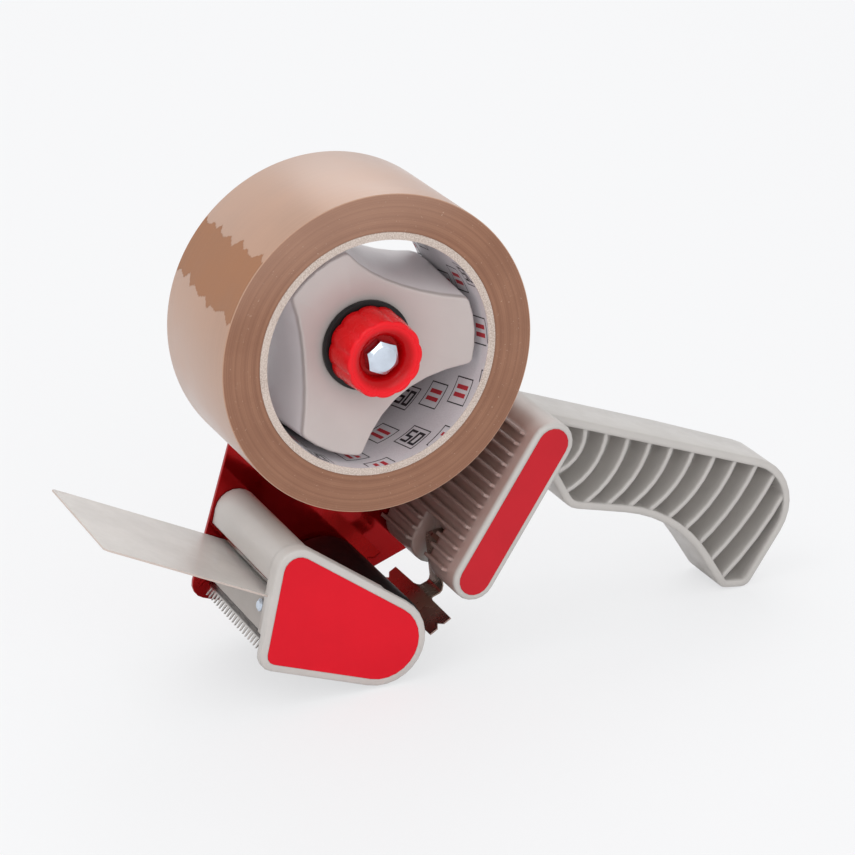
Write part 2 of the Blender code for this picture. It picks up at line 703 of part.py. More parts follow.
def flap_sheet(name, outline, bottom, top):
    """A flat sheet parallel to the flap, from an outline of (along, y)."""
    shape = bmesh.new()
    loop = [shape.verts.new((along, 0, y)) for along, y in outline]
    fill_ends(shape, [loop])
    grown = bmesh.ops.extrude_face_region(shape, geom=shape.faces[:])
    moved = [item for item in grown["geom"] if isinstance(item, bmesh.types.BMVert)]
    bmesh.ops.translate(shape, verts=moved, vec=(0, top - bottom, 0))
    for point in shape.verts:
        x, z = flap_place(point.co.x, bottom + point.co.y)
        point.co = (x, point.co.z, z)
    return finish_mesh(name, shape)


def make_wiper_flap():
    """The free part of the flap, which bends at the front edge of its clamp."""
    free = FLAP_LENGTH - FLAP_CORNER
    outline = [(GAP, FLAP_ROOT_NEAR_Y), (free, FLAP_NEAR_Y), (FLAP_LENGTH, FLAP_NEAR_Y + FLAP_CORNER),
               (FLAP_LENGTH, FLAP_FAR_Y - FLAP_CORNER), (free, FLAP_FAR_Y), (GAP, FLAP_FAR_Y)]
    return flap_sheet("wiper_flap", outline, GAP, GAP + FLAP_THICKNESS)


def clamped_outline(length, set_back=0):
    far_y = FLAP_FAR_Y - GAP
    return [(-length, FLAP_ROOT_NEAR_Y), (-set_back, FLAP_ROOT_NEAR_Y), (-set_back, far_y), (-length, far_y)]


def rivet_solids(clearance=0, through=False):
    """The rivets through clamp, flap root and shelf, or the holes for them."""
    top = 3 * GAP + FLAP_THICKNESS + CLAMP_THICKNESS
    bottom = -WALL_THICKNESS - GAP
    solids = []
    for share in RIVET_SHARES:
        radius = RIVET_RADIUS + clearance
        if through:
            profile = ((0, bottom - OVERRUN), (radius, bottom - OVERRUN), (radius, top + OVERRUN),
                       (0, top + OVERRUN))
        else:
            profile = ((0, bottom - RIVET_HEAD_HEIGHT), (RIVET_HEAD, bottom - RIVET_HEAD_HEIGHT),
                       (RIVET_HEAD, bottom), (radius, bottom), (radius, top), (RIVET_HEAD, top),
                       (RIVET_HEAD * HEAD_TOP_SHARE, top + RIVET_HEAD_HEIGHT), (0, top + RIVET_HEAD_HEIGHT))
        solid = turned("rivet", profile)
        across = Vector((math.sin(FLAP_SLOPE), 0, math.cos(FLAP_SLOPE)))
        turn = Vector((0, 1, 0)).rotation_difference(across).to_matrix().to_4x4()
        x, z = flap_place(RIVET_HEAD + 2 * GAP - CLAMP_LENGTH, 0)
        solid.data.transform(turn)
        solid.data.transform(turn.Translation(Vector((x, share * ROLL_WIDTH, z))))
        solids.append(solid)
    return solids


def make_flap_root():
    root = flap_sheet("flap_root", clamped_outline(SHELF_LENGTH), GAP, GAP + FLAP_THICKNESS)
    for tool in rivet_solids(GAP, through=True):
        cut(root, tool)
    return root


def make_flap_clamp():
    bottom = 2 * GAP + FLAP_THICKNESS
    clamp = flap_sheet("flap_clamp", clamped_outline(CLAMP_LENGTH, CLAMP_SET_BACK), bottom,
                       bottom + CLAMP_THICKNESS)
    for tool in rivet_solids(GAP, through=True):
        cut(clamp, tool)
    return clamp


def make_flap_rivets():
    return named(rivet_solids(), "flap_rivet_near", "flap_rivet_far")


def make_roller_sleeve():
    inner = ROLLER_RADIUS - SLEEVE_THICKNESS
    half = ROLLER_LENGTH / 2 - SLEEVE_SET_BACK
    edge = SLEEVE_THICKNESS / 4
    profile = ((inner, -half), (ROLLER_RADIUS - edge, -half), (ROLLER_RADIUS, -half + edge),
               (ROLLER_RADIUS, half - edge), (ROLLER_RADIUS - edge, half), (inner, half))
    return turned("roller_sleeve", profile, NOSE_X, NOSE_Z)


def make_roller_core():
    """Dished plastic core with a boss that runs on the axle."""
    bore = AXLE_RADIUS + GAP
    outer = ROLLER_RADIUS - SLEEVE_THICKNESS - GAP
    inner = outer - ROLLER_RIM
    half = ROLLER_LENGTH / 2
    boss = half - ROLLER_BOSS_SET_BACK
    web = half - ROLLER_DISH
    right = ((bore, boss), (ROLLER_BOSS_RADIUS, boss), (ROLLER_BOSS_RADIUS, web), (inner, web), (inner, half),
             (outer, half))
    left = [(radius, -y) for radius, y in right[::-1]]
    return turned("roller_core", list(right) + left, NOSE_X, NOSE_Z)


def make_roller_axle():
    near_y = CHEEK_INNER_Y - AXLE_SOCKET + GAP
    hole = SCREW_RADIUS + GAP
    profile = ((0, near_y), (AXLE_RADIUS, near_y), (AXLE_RADIUS, HOUSING_FAR_Y), (hole, HOUSING_FAR_Y),
               (hole, HOUSING_FAR_Y - SCREW_LENGTH), (0, HOUSING_FAR_Y - SCREW_LENGTH))
    return turned("roller_axle", profile, NOSE_X, NOSE_Z)


def far_screw(x, z):
    """A pan head screw put in from the far side, with a cross recess."""
    seat = FRAME_FAR_Y + GAP
    top = seat + SCREW_HEAD_HEIGHT
    tip = HOUSING_FAR_Y - SCREW_LENGTH + SCREW_RADIUS
    profile = ((0, tip), (SCREW_RADIUS / 2, tip), (SCREW_RADIUS, tip + SCREW_RADIUS), (SCREW_RADIUS, seat),
               (SCREW_HEAD, seat), (SCREW_HEAD, seat + SCREW_HEAD_HEIGHT / 2),
               (SCREW_HEAD * HEAD_TOP_SHARE, top), (0, top))
    screw = turned("screw", profile, x, z)
    cross = SCREW_HEAD * HEAD_TOP_SHARE - SCREW_CROSS_WIDTH / 2
    for wide, tall in ((cross, SCREW_CROSS_WIDTH / 2), (SCREW_CROSS_WIDTH / 2, cross)):
        corners = [(x - wide, z - tall), (x + wide, z - tall), (x + wide, z + tall), (x - wide, z + tall)]
        cut(screw, slab("recess", corners, top - SCREW_CROSS_DEPTH, top + OVERRUN))
    return screw


def make_axle_screw():
    return named([far_screw(NOSE_X, NOSE_Z)], "axle_screw")


def make_housing_screws():
    screws = [far_screw(x, z) for x, z in housing_screw_places()]
    return named(screws, "housing_screw_bar", "housing_screw_shelf")


def make_handle_screws():
    screws = [far_screw(x, z) for x, z in handle_screw_places()]
    return named(screws, "handle_screw_low", "handle_screw_middle", "handle_screw_top")


def grip_circles():
    """The grip's outline circles, placed from the strut's upper end."""
    top_x, top_z = strut_point(STRUT_LOW + STRUT_LENGTH, STRUT_AWAY)
    return [(top_x + x * GRIP_LENGTH, top_z + z * GRIP_DROP, radius * GRIP_LENGTH)
            for x, z, radius in GRIP_SHARES]


def grip_line(inset):
    """The grip's outline drawn inwards, with its sharp corners kept a little round."""
    circles = grip_circles()
    headings = tangent_headings(circles)
    drawn = []
    for index, (x, z, radius) in enumerate(circles):
        short = inset + GRIP_EDGE - radius
        if radius > 0 and short > 0:
            turn = (headings[index] - headings[index - 1]) % math.tau
            middle = headings[index - 1] + turn / 2
            reach = short / math.cos(turn / 2)
            drawn.append((x - reach * math.sin(middle), z + reach * math.cos(middle), GRIP_EDGE))
        else:
            drawn.append((x, z, radius - inset))
    return belt(drawn)


def along_outline(points, start, distance):
    """The place a distance along a polyline from its point number start; a negative distance goes back."""
    step = 1 if distance > 0 else -1
    index = start
    left = abs(distance)
    while True:
        here = Vector(points[index % len(points)])
        there = Vector(points[(index + step) % len(points)])
        length = (there - here).length
        if length >= left and length > 0:
            return here.lerp(there, left / length)
        left -= length
        index += step


def bowed(start, end, bow):
    """An arc from start to end whose middle stands bow to the right of the chord, as points."""
    chord = end - start
    middle = start.lerp(end, 1 / 2)
    side = Vector((chord.y, -chord.x)).normalized()
    radius = chord.length_squared / (8 * bow) + bow / 2
    centre = middle + side * (bow - radius)
    first = math.atan2(start.y - centre.y, start.x - centre.x)
    turn = (math.atan2(end.y - centre.y, end.x - centre.x) - first + math.pi) % math.tau - math.pi
    steps = arc_steps(radius, turn)
    return [(centre.x + radius * math.cos(first + turn * step / steps),
             centre.y + radius * math.sin(first + turn * step / steps)) for step in range(steps + 1)]


def grip_ribs():
    """Curved ribs between the grip's upper and lower walls, evenly spaced along both."""
    line = grip_line(GRIP_WALL / 2)
    top_x, _ = strut_point(STRUT_LOW + STRUT_LENGTH, STRUT_AWAY)
    corner_x, corner_z, corner_radius = grip_circles()[0]
    upper = max(range(len(line)), key=lambda index: line[index][1] if line[index][0] > top_x else -math.inf)
    corner_low = (corner_x, corner_z - corner_radius)
    lower = min(range(len(line)), key=lambda index: math.dist(line[index], corner_low))
    ribs = []
    for index in range(GRIP_RIB_COUNT):
        down = GRIP_LENGTH * (GRIP_RIB_FIRST_SHARE + index * GRIP_RIB_PITCH_SHARE)
        high = along_outline(line, upper, -down)
        pitch = GRIP_LENGTH * GRIP_RIB_PITCH_SHARE * GRIP_RIB_LOW_SHARE
        low = along_outline(line, lower, (index - GRIP_RIB_CORNER) * pitch)
        lost = (1 - GRIP_RIB_BOW_END_SHARE) * index / (GRIP_RIB_COUNT - 1)
        bow = GRIP_LENGTH * GRIP_RIB_BOW_SHARE * (1 - lost)
        ribs.append(ribbon(bowed(low, high, bow), GRIP_RIB))
    return ribs


def make_grip():
    """Open moulding round a middle web, with curved ribs on both of its sides."""
    half = GRIP_WIDTH / 2
    grip = moulded("grip", grip_circles(), -half, half, GRIP_EDGE, GRIP_EDGE)
    for near_y, end_y in ((-half - OVERRUN, -GRIP_WEB / 2), (GRIP_WEB / 2, half + OVERRUN)):
        cut(grip, slab("pocket", grip_line(GRIP_WALL), near_y, end_y))
    ribs = [slab("grip_rib", rib, -half + GRIP_RIB_SET_BACK, half - GRIP_RIB_SET_BACK) for rib in grip_ribs()]
    return weld(grip, group("grip_ribs", ribs))


def make_handle():
    """Grey moulding: hollow strut with cross ribs and end plate, and the open ribbed grip."""
    far_y = HOUSING_FAR_Y
    handle = moulded("handle", strut_circles(STRUT_RADIUS), CHEEK_OUTER_Y, far_y, near_edge=STRUT_EDGE)
    floor = STRUT_AWAY - STRUT_RADIUS
    ribs = []
    for index in range(int((STRUT_LENGTH - RIB_START) / RIB_PITCH) + 1):
        middle = STRUT_LOW + RIB_START + index * RIB_PITCH
        low, high = middle - RIB_THICKNESS / 2, middle + RIB_THICKNESS / 2
        corners = [strut_point(low, floor + RIB_ROOT), strut_point(high, floor + RIB_ROOT),
                   strut_point(high, floor - RIB_HEIGHT), strut_point(low, floor - RIB_HEIGHT)]
        ribs.append(slab("rib", corners, CHEEK_OUTER_Y + RIB_SET_BACK, far_y - GAP))
    weld(handle, group("ribs", ribs))
    hollow_low = STRUT_LOW + STRUT_SOLID_FOOT
    hollow = strut_circles(STRUT_RADIUS - STRUT_WALL, hollow_low)
    cut(handle, moulded("hollow", hollow, CHEEK_INNER_Y, far_y + OVERRUN))
    for x, z in handle_screw_places()[1:]:
        weld(handle, pin("post", BAR_BOSS_RADIUS, CHEEK_INNER_Y - GAP, far_y, x, z))
    for x, z in handle_screw_places():
        cut(handle, pin("screw_hole", SCREW_RADIUS + GAP, far_y - SCREW_LENGTH, far_y + OVERRUN, x, z))
    inset_y = CHEEK_OUTER_Y + LABEL_THICKNESS + GAP - LABEL_PROUD
    seat = strut_circles(STRUT_RADIUS - STRUT_LABEL_INSET + GAP)
    cut(handle, moulded("label_seat", seat, CHEEK_OUTER_Y - OVERRUN, inset_y))
    return weld(cut_spring_room(handle), make_grip())


def cut_spring_room(handle):
    """The notch in the strut's foot for the spring's stem, and the slot for its tail."""
    back = SPRING_STEM_X + NOTCH_BACK
    left = strut_point(STRUT_LOW, STRUT_AWAY - 2 * STRUT_RADIUS)[0]
    low = strut_point(STRUT_LOW - 2 * STRUT_RADIUS, STRUT_AWAY)[1]
    corners = [(left, low), (back, low), (back, NOTCH_TOP_Z), (left, NOTCH_TOP_Z)]
    cut(handle, slab("notch", corners, SPRING_Y - NOTCH_WIDTH / 2, SPRING_Y + NOTCH_WIDTH / 2))
    half = TAIL_SLOT_HEIGHT / 2
    deep = SPRING_PIVOT_X + SPRING_TAIL + half
    slot = [(SPRING_STEM_X, SPRING_PIVOT_Z - half), (deep, SPRING_PIVOT_Z - half),
            (deep, SPRING_PIVOT_Z + half), (SPRING_STEM_X, SPRING_PIVOT_Z + half)]
    width = SPRING_TAIL_WIDTH / 2 + GAP
    return cut(handle, slab("tail_slot", slot, SPRING_Y - width, SPRING_Y + width))


def make_handle_label():
    back_y = CHEEK_OUTER_Y + LABEL_THICKNESS - LABEL_PROUD
    outline = belt(strut_circles(STRUT_RADIUS - STRUT_LABEL_INSET))
    return slab("handle_label", outline, CHEEK_OUTER_Y - LABEL_PROUD, back_y)


def spring_rows():
    """Centre line and half widths of the leaf spring, from its tail to the edge near the roller."""
    stem = SPRING_STEM_WIDTH / 2
    tail = SPRING_TAIL_WIDTH / 2
    bar = SPRING_BAR_WIDTH / 2
    bar_x = SPRING_TIP_X - SPRING_NECK_X
    bar_z = SPRING_TIP_Z - SPRING_NECK_Z
    rows = [
        (SPRING_PIVOT_X + SPRING_TAIL, SPRING_PIVOT_Z, tail),
        (SPRING_PIVOT_X, SPRING_PIVOT_Z, tail),
        (SPRING_STEM_X + SPRING_BEND, SPRING_PIVOT_Z - SPRING_BEND / 4, tail),
        (SPRING_STEM_X + SPRING_BEND / 4, SPRING_PIVOT_Z - SPRING_BEND, stem),
        (SPRING_STEM_X, SPRING_STEM_TOP_Z, stem),
        (SPRING_STEM_LOW_X, SPRING_STEM_LOW_Z + SPRING_BEND, stem),
        (SPRING_STEM_LOW_X - SPRING_BEND / 3, SPRING_STEM_LOW_Z - SPRING_BEND / 3, stem),
        (SPRING_STEM_LOW_X - SPRING_BEND, SPRING_STEM_LOW_Z - SPRING_BEND, stem),
        (SPRING_NECK_X + SPRING_BEND, SPRING_NECK_Z + SPRING_BEND / 8, stem),
        (SPRING_NECK_X + SPRING_BEND / 3, SPRING_NECK_Z + SPRING_BEND / 16, stem * 7 / 6),
        (SPRING_NECK_X, SPRING_NECK_Z, stem * 3 / 2),
        (SPRING_NECK_X - SPRING_THICKNESS / 4, SPRING_NECK_Z - SPRING_THICKNESS / 6, bar),
    ]
    for share, notch in ((0.35, 0), (0.5, SPRING_BAR_NOTCH), (0.65, 0), (1, 0)):
        rows.append((SPRING_NECK_X + bar_x * share, SPRING_NECK_Z + bar_z * share, bar - notch))
    return rows


def make_anti_return_spring():
    """Leaf spring: a flat T, bent along its centre line."""
    rows = spring_rows()
    rings = []
    for index, (x, z, half) in enumerate(rows):
        before = rows[max(index - 1, 0)]
        after = rows[min(index + 1, len(rows) - 1)]
        heading = math.atan2(after[1] - before[1], after[0] - before[0])
        side_x, side_z = (-math.sin(heading) * SPRING_THICKNESS / 2, math.cos(heading) * SPRING_THICKNESS / 2)
        near_y, far_y = SPRING_Y - half, SPRING_Y + half
        rings.append([Vector((x + side_x, near_y, z + side_z)), Vector((x + side_x, far_y, z + side_z)),
                      Vector((x - side_x, far_y, z - side_z)), Vector((x - side_x, near_y, z - side_z))])
    return loft("anti_return_spring", rings)


def hub_outline(shift=0):
    """Three lobes with round tips and hollow flanks, as points about the roll axis, at the hub's front."""
    circles = []
    apart = math.tau / HUB_LOBES / 2
    corner = HUB_RADIUS - HUB_CORNER
    inner = HUB_WAIST - HUB_CORNER
    # the flank circle passes the waist and touches the lobes' corner circles
    flank = (corner ** 2 - inner ** 2) / (2 * (corner * math.cos(apart - HUB_LOBE_HALF) - inner))
    for lobe in range(HUB_LOBES):
        middle = HUB_PHASE + lobe * math.tau / HUB_LOBES
        before, after = middle - HUB_LOBE_HALF, middle + HUB_LOBE_HALF
        circles += [(corner * math.cos(before), corner * math.sin(before), HUB_CORNER), (0, 0, HUB_RADIUS),
                    (corner * math.cos(after), corner * math.sin(after), HUB_CORNER),
                    (flank * math.cos(middle + apart), flank * math.sin(middle + apart), HUB_WAIST - flank)]
    return belt(circles, shift)


def dish_depth(radius):
    """How far in front lies the hub's dished face at a radius."""
    return HUB_FRONT_Y - max(radius - HUB_FLAT, 0) * HUB_DISH_SLOPE


def hub_body(name, shift, behind, far_y, edge):
    """The hub's outline from its dished face, moved back by a depth, to its far side."""
    rings = [[Vector((x * HUB_FLAT / math.hypot(x, z), HUB_FRONT_Y + behind, z * HUB_FLAT / math.hypot(x, z)))
              for x, z in hub_outline(shift)]]
    steps = arc_steps(edge, math.pi / 2) if edge else 0
    for step in range(steps + 1):
        angle = math.pi / 2 * (step / steps if steps else 1)
        inset = edge * (1 - math.sin(angle))
        depth = behind + edge * (1 - math.cos(angle))
        rings.append([Vector((x, dish_depth(math.hypot(x, z)) + depth, z))
                      for x, z in hub_outline(shift - inset)])
    rings += [at_depth(hub_outline(shift + HUB_TAPER), y) for y in (HUB_FAR_Y - HUB_LAND, far_y)]
    return loft(name, rings)


def make_hub():
    """Moulded hub, hollow from the far side, with a bored boss and a web to each lobe."""
    hub = hub_body("hub", 0, 0, HUB_FAR_Y, HUB_EDGE)
    cut(hub, hub_body("cavity", -HUB_WALL, HUB_WALL, HUB_FAR_Y + OVERRUN, 0))
    floor_y = HUB_FRONT_Y + HUB_WALL / 2
    webs = []
    for lobe in range(HUB_LOBES):
        angle = HUB_PHASE + lobe * math.tau / HUB_LOBES
        side = (math.sin(angle) * HUB_WEB / 2, -math.cos(angle) * HUB_WEB / 2)
        rings = []
        for y, widened in ((floor_y, 0), (HUB_FAR_Y - HUB_WALL, HUB_TAPER)):
            reach = HUB_RADIUS - HUB_WALL / 2 + widened
            line = [(0, 0), (reach * math.cos(angle), reach * math.sin(angle))]
            corners = [(x - side[0], z - side[1]) for x, z in line]
            corners += [(x + side[0], z + side[1]) for x, z in line[::-1]]
            rings.append(at_depth(corners, y))
        webs.append(loft("web", rings))
    weld(hub, pin("boss", HUB_BOSS_RADIUS, floor_y, HUB_BOSS_FAR_Y), *webs)
    return cut(hub, pin("bore", BUSHING_RADIUS + GAP, HUB_FRONT_Y - OVERRUN, HUB_BOSS_FAR_Y + OVERRUN))


def knob_ring(radius, y, depth=KNOB_SCALLOP_DEPTH):
    """One ring of the knob's scalloped side."""
    steps = KNOB_SCALLOPS * KNOB_STEPS
    ring = []
    for step in range(steps):
        turn = math.tau * step / steps
        flute = abs(math.sin(turn * KNOB_SCALLOPS / 2)) ** KNOB_FLUTE_POWER
        reach = radius - depth * (1 - flute)
        angle = turn + KNOB_PHASE
        ring.append(Vector((reach * math.cos(angle), y, reach * math.sin(angle))))
    return ring


def make_brake_knob():
    """Scalloped knob with a dished face, a pocket for the spring behind and a hole for the bolt."""
    slope = (KNOB_FRONT_RADIUS - KNOB_BACK_RADIUS) / (KNOB_FRONT_Y - KNOB_BACK_Y)
    rings = [knob_ring(KNOB_BACK_RADIUS - KNOB_EDGE, KNOB_BACK_Y),
             knob_ring(KNOB_BACK_RADIUS, KNOB_BACK_Y - KNOB_EDGE)]
    steps = arc_steps(KNOB_EDGE, math.pi / 2)
    for step in range(steps + 1):
        angle = math.pi / 2 * step / steps
        y = KNOB_FRONT_Y + KNOB_EDGE * (1 - math.sin(angle))
        radius = KNOB_FRONT_RADIUS + (y - KNOB_FRONT_Y) * slope - KNOB_EDGE * (1 - math.cos(angle))
        rings.append(knob_ring(radius, y))
    lip = KNOB_FRONT_RADIUS - KNOB_EDGE - KNOB_SCALLOP_DEPTH - KNOB_RIM
    lip_y = KNOB_FRONT_Y + KNOB_EDGE / 3
    for step in range(KNOB_BOWL_STEPS + 1):
        angle = math.pi / 2 * step / KNOB_BOWL_STEPS
        rings.append(knob_ring(lip - (lip - KNOB_SEAT_RADIUS) * math.sin(angle),
                               lip_y + (KNOB_SEAT_Y - lip_y) * (1 - math.cos(angle)), 0))
    knob = loft("brake_knob", rings)
    pocket_y = KNOB_SEAT_Y + KNOB_SEAT_WALL
    cut(knob, pin("pocket", SPRING_POCKET_RADIUS, pocket_y, KNOB_BACK_Y + OVERRUN),
        pin("hole", BOLT_RADIUS + GAP, KNOB_SEAT_Y - OVERRUN, pocket_y + OVERRUN))
    return knob


def hexagon(flats, turn=0):
    """A hexagon given its width across flats, with two corners up and down where it isn't turned."""
    reach = flats / math.sqrt(3)
    angles = [math.tau * side / 6 - turn for side in range(6)]
    return [(reach * math.sin(angle), reach * math.cos(angle)) for angle in angles]


def make_brake_bolt():
    """Hexagon bolt, its head sunk in the knob and its end in the weld nut."""
    head_y = KNOB_SEAT_Y - GAP
    top_y = head_y - BOLT_HEAD_HEIGHT
    half = BOLT_HEAD_FLATS / 2
    bolt = slab("brake_bolt", hexagon(BOLT_HEAD_FLATS, BOLT_TURN), top_y, head_y)
    crown = turned("crown", ((0, top_y), (half - BOLT_CHAMFER / 2, top_y), (half + BOLT_HEAD_FLATS, top_y +
                   (BOLT_CHAMFER / 2 + BOLT_HEAD_FLATS) / 2), (half + BOLT_HEAD_FLATS, head_y + OVERRUN),
                   (0, head_y + OVERRUN)))
    combine(bolt, crown, "INTERSECT")
    shank = turned("shank", ((0, head_y - BOLT_HEAD_HEIGHT / 2), (BOLT_RADIUS, head_y - BOLT_HEAD_HEIGHT / 2),
                   (BOLT_RADIUS, BOLT_FAR_Y - BOLT_CHAMFER), (BOLT_RADIUS - BOLT_CHAMFER, BOLT_FAR_Y),
                   (0, BOLT_FAR_Y)))
    return weld(bolt, shank)


def make_brake_spring():
    """Coil spring between the knob and the friction washer."""
    near_y = KNOB_SEAT_Y + KNOB_SEAT_WALL + GAP + COIL_WIRE
    far_y = KNOB_BACK_Y - COIL_WIRE
    steps = COIL_TURNS * COIL_STEPS
    rings = []
    for step in range(steps + 1):
        angle = math.tau * step / COIL_STEPS
        out = Vector((math.cos(angle), 0, math.sin(angle)))
        centre = out * COIL_RADIUS + Vector((0, near_y + (far_y - near_y) * step / steps, 0))
        rings.append([centre + COIL_WIRE * (out * math.cos(math.tau * side / COIL_SIDES) + Vector((
            0, math.sin(math.tau * side / COIL_SIDES), 0))) for side in range(COIL_SIDES)])
    return loft("brake_spring", rings)


def make_friction_washer():
    far_y = HUB_FRONT_Y - GAP
    return tube("friction_washer", BOLT_RADIUS + GAP, WASHER_RADIUS, far_y - WASHER_THICKNESS, far_y)


def make_hub_bushing():
    return tube("hub_bushing", BOLT_RADIUS + GAP, BUSHING_RADIUS, HUB_FRONT_Y, FRAME_NEAR_Y - GAP)


def make_rear_washer():
    return tube("rear_washer", BUSHING_RADIUS + GAP, REAR_WASHER_RADIUS, HUB_BOSS_FAR_Y + GAP,
                FRAME_NEAR_Y - GAP)


def make_weld_nut():
    """Flanged nut on the far side of the frame."""
    near_y = FRAME_FAR_Y + GAP
    nut = slab("weld_nut", hexagon(NUT_FLATS), near_y, near_y + NUT_HEIGHT)
    weld(nut, pin("flange", NUT_FLANGE, near_y, near_y + NUT_FLANGE_HEIGHT))
    return cut(nut, pin("bore", BOLT_RADIUS + GAP, near_y - OVERRUN, near_y + NUT_HEIGHT + OVERRUN))


# Colour, metallic value and roughness of each finish
RED_PAINT = ((0.33, 0.006, 0.009), 0, 0.25)
RED_PLASTIC = ((0.62, 0.012, 0.016), 0, 0.3)
RED_LABEL = ((0.62, 0.02, 0.03), 0, 0.4)
GREY_PLASTIC = ((0.52, 0.49, 0.46), 0, 0.45)
CLEAR_PLASTIC = ((0.62, 0.63, 0.64), 0, 0.35)
BLACK_RUBBER = ((0.02, 0.02, 0.02), 0, 0.6)
BLACK_PLASTIC = ((0.03, 0.03, 0.03), 0, 0.5)
ZINC = ((0.6, 0.62, 0.66), 1, 0.3)
STEEL = ((0.55, 0.55, 0.55), 1, 0.25)
CARD = ((0.47, 0.38, 0.27), 0, 0.85)
BROWN_TAPE = ((0.42, 0.25, 0.13), 0, 0.3)

# Every piece: how it is made, its finish, and the axis that a moving one turns about
PIECES = (
    (make_side_frame, RED_PAINT, None),
    (make_front_housing, GREY_PLASTIC, None),
    (make_front_label, RED_LABEL, None),
    (make_cutting_blade, STEEL, None),
    (make_blade_screws, STEEL, None),
    (make_wiper_flap, CLEAR_PLASTIC, flap_place(0, GAP + FLAP_THICKNESS / 2)),
    (make_flap_root, CLEAR_PLASTIC, None),
    (make_flap_clamp, STEEL, None),
    (make_flap_rivets, STEEL, None),
    (make_roller_axle, STEEL, None),
    (make_axle_screw, ZINC, None),
    (make_roller_core, BLACK_PLASTIC, (NOSE_X, NOSE_Z)),
    (make_roller_sleeve, BLACK_RUBBER, (NOSE_X, NOSE_Z)),
    (make_handle, GREY_PLASTIC, None),
    (make_handle_label, RED_LABEL, None),
    (make_handle_screws, ZINC, None),
    (make_housing_screws, ZINC, None),
    (make_anti_return_spring, STEEL, (SPRING_PIVOT_X, SPRING_PIVOT_Z)),
    (make_hub, GREY_PLASTIC, (0, 0)),
    (make_cardboard_core, CARD, (0, 0)),
    (make_tape_roll, BROWN_TAPE, (0, 0)),
    (make_brake_knob, RED_PLASTIC, (0, 0)),
    (make_brake_bolt, ZINC, (0, 0)),
    (make_brake_spring, STEEL, (0, 0)),
    (make_friction_washer, BLACK_PLASTIC, (0, 0)),
    (make_hub_bushing, STEEL, None),
    (make_rear_washer, ZINC, None),
    (make_weld_nut, STEEL, None),
)


def paint(part, finish):
    """Give a piece its own material."""
    colour, metallic, roughness = finish
    material = bpy.data.materials.new(part.name)
    material.use_nodes = True
    shader = material.node_tree.nodes["Principled BSDF"]
    shader.inputs["Base Color"].default_value = (*colour, 1)
    shader.inputs["Metallic"].default_value = metallic
    shader.inputs["Roughness"].default_value = roughness
    material.diffuse_color = (*colour, 1)
    part.data.materials.clear()
    part.data.materials.append(material)


def main():
    """Build every piece and stand the dispenser on its roller and handle."""
    for old in list(bpy.data.objects):
        bpy.data.objects.remove(old)
    left = flap_place(FLAP_LENGTH, GAP)[0]
    right = max(x for x, _ in belt(grip_circles()))
    root = bpy.data.objects.new("dispenser_root", None)
    bpy.context.scene.collection.objects.link(root)
    low = min(z for _, z in belt(grip_circles()))
    root.location = (-(left + right) / 2, -(KNOB_FRONT_Y + BOLT_FAR_Y) / 2, max(ROLL_HEIGHT, -low))
    for make, finish, axis in PIECES:
        made = make()
        for part in made if isinstance(made, list) else [made]:
            if axis:
                x, z = axis
                part.data.transform(Matrix.Translation((-x, 0, -z)))
                part.location = (x, 0, z)
            part.data.shade_smooth()
            part.data.set_sharp_from_angle(angle=SMOOTH_ANGLE)
            paint(part, finish)
            part.parent = root


main()
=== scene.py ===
import json
import math

import bmesh
import bpy
from mathutils import Matrix, Vector

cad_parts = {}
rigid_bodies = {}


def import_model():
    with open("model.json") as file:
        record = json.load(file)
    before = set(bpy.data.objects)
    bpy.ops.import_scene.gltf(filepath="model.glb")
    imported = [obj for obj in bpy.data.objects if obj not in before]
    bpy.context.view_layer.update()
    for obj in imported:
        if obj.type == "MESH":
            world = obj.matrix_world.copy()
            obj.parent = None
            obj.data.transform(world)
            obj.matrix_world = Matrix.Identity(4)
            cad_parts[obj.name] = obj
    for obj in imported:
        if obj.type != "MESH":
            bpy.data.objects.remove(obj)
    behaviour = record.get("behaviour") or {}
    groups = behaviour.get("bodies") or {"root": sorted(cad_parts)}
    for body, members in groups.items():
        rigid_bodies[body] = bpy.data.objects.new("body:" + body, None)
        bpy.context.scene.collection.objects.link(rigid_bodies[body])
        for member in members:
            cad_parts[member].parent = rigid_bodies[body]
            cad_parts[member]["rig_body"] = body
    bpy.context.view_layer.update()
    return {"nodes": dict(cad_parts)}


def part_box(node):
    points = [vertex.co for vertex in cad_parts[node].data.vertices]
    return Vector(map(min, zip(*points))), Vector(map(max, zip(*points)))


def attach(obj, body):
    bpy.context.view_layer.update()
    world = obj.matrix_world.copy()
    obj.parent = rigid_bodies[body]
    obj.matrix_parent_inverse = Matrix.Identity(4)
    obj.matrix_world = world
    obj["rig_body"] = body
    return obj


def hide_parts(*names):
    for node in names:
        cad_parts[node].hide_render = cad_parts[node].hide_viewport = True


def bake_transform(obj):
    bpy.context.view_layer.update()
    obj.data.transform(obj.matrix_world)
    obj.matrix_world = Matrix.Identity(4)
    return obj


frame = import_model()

NODES = frame["nodes"]

# Places and sizes are in metres in the shared frame; tables that say so are in millimetres.
HUB = Vector((-0.032865, -0.0026, 0.1149))
NOSE = HUB + Vector((-0.0024, 0, -0.0986))

# The front wall's lower edge, the way down the wall, and the way out of it.
LIP = (-0.075665, -0.0026, 0.0266)
WALL_DOWN = (-0.2888, 0, -0.9574)
WALL_OUT = (-0.9574, 0, 0.2888)

# The strut's lower end, the way up it, and the way from its middle to the ribs that face the roll.
STRUT_FOOT = (HUB.x + 0.03102, 0, HUB.z - 0.08257)
STRUT_UP = (0.5543, 0, 0.8323)
STRUT_LEFT = (-0.8323, 0, 0.5543)

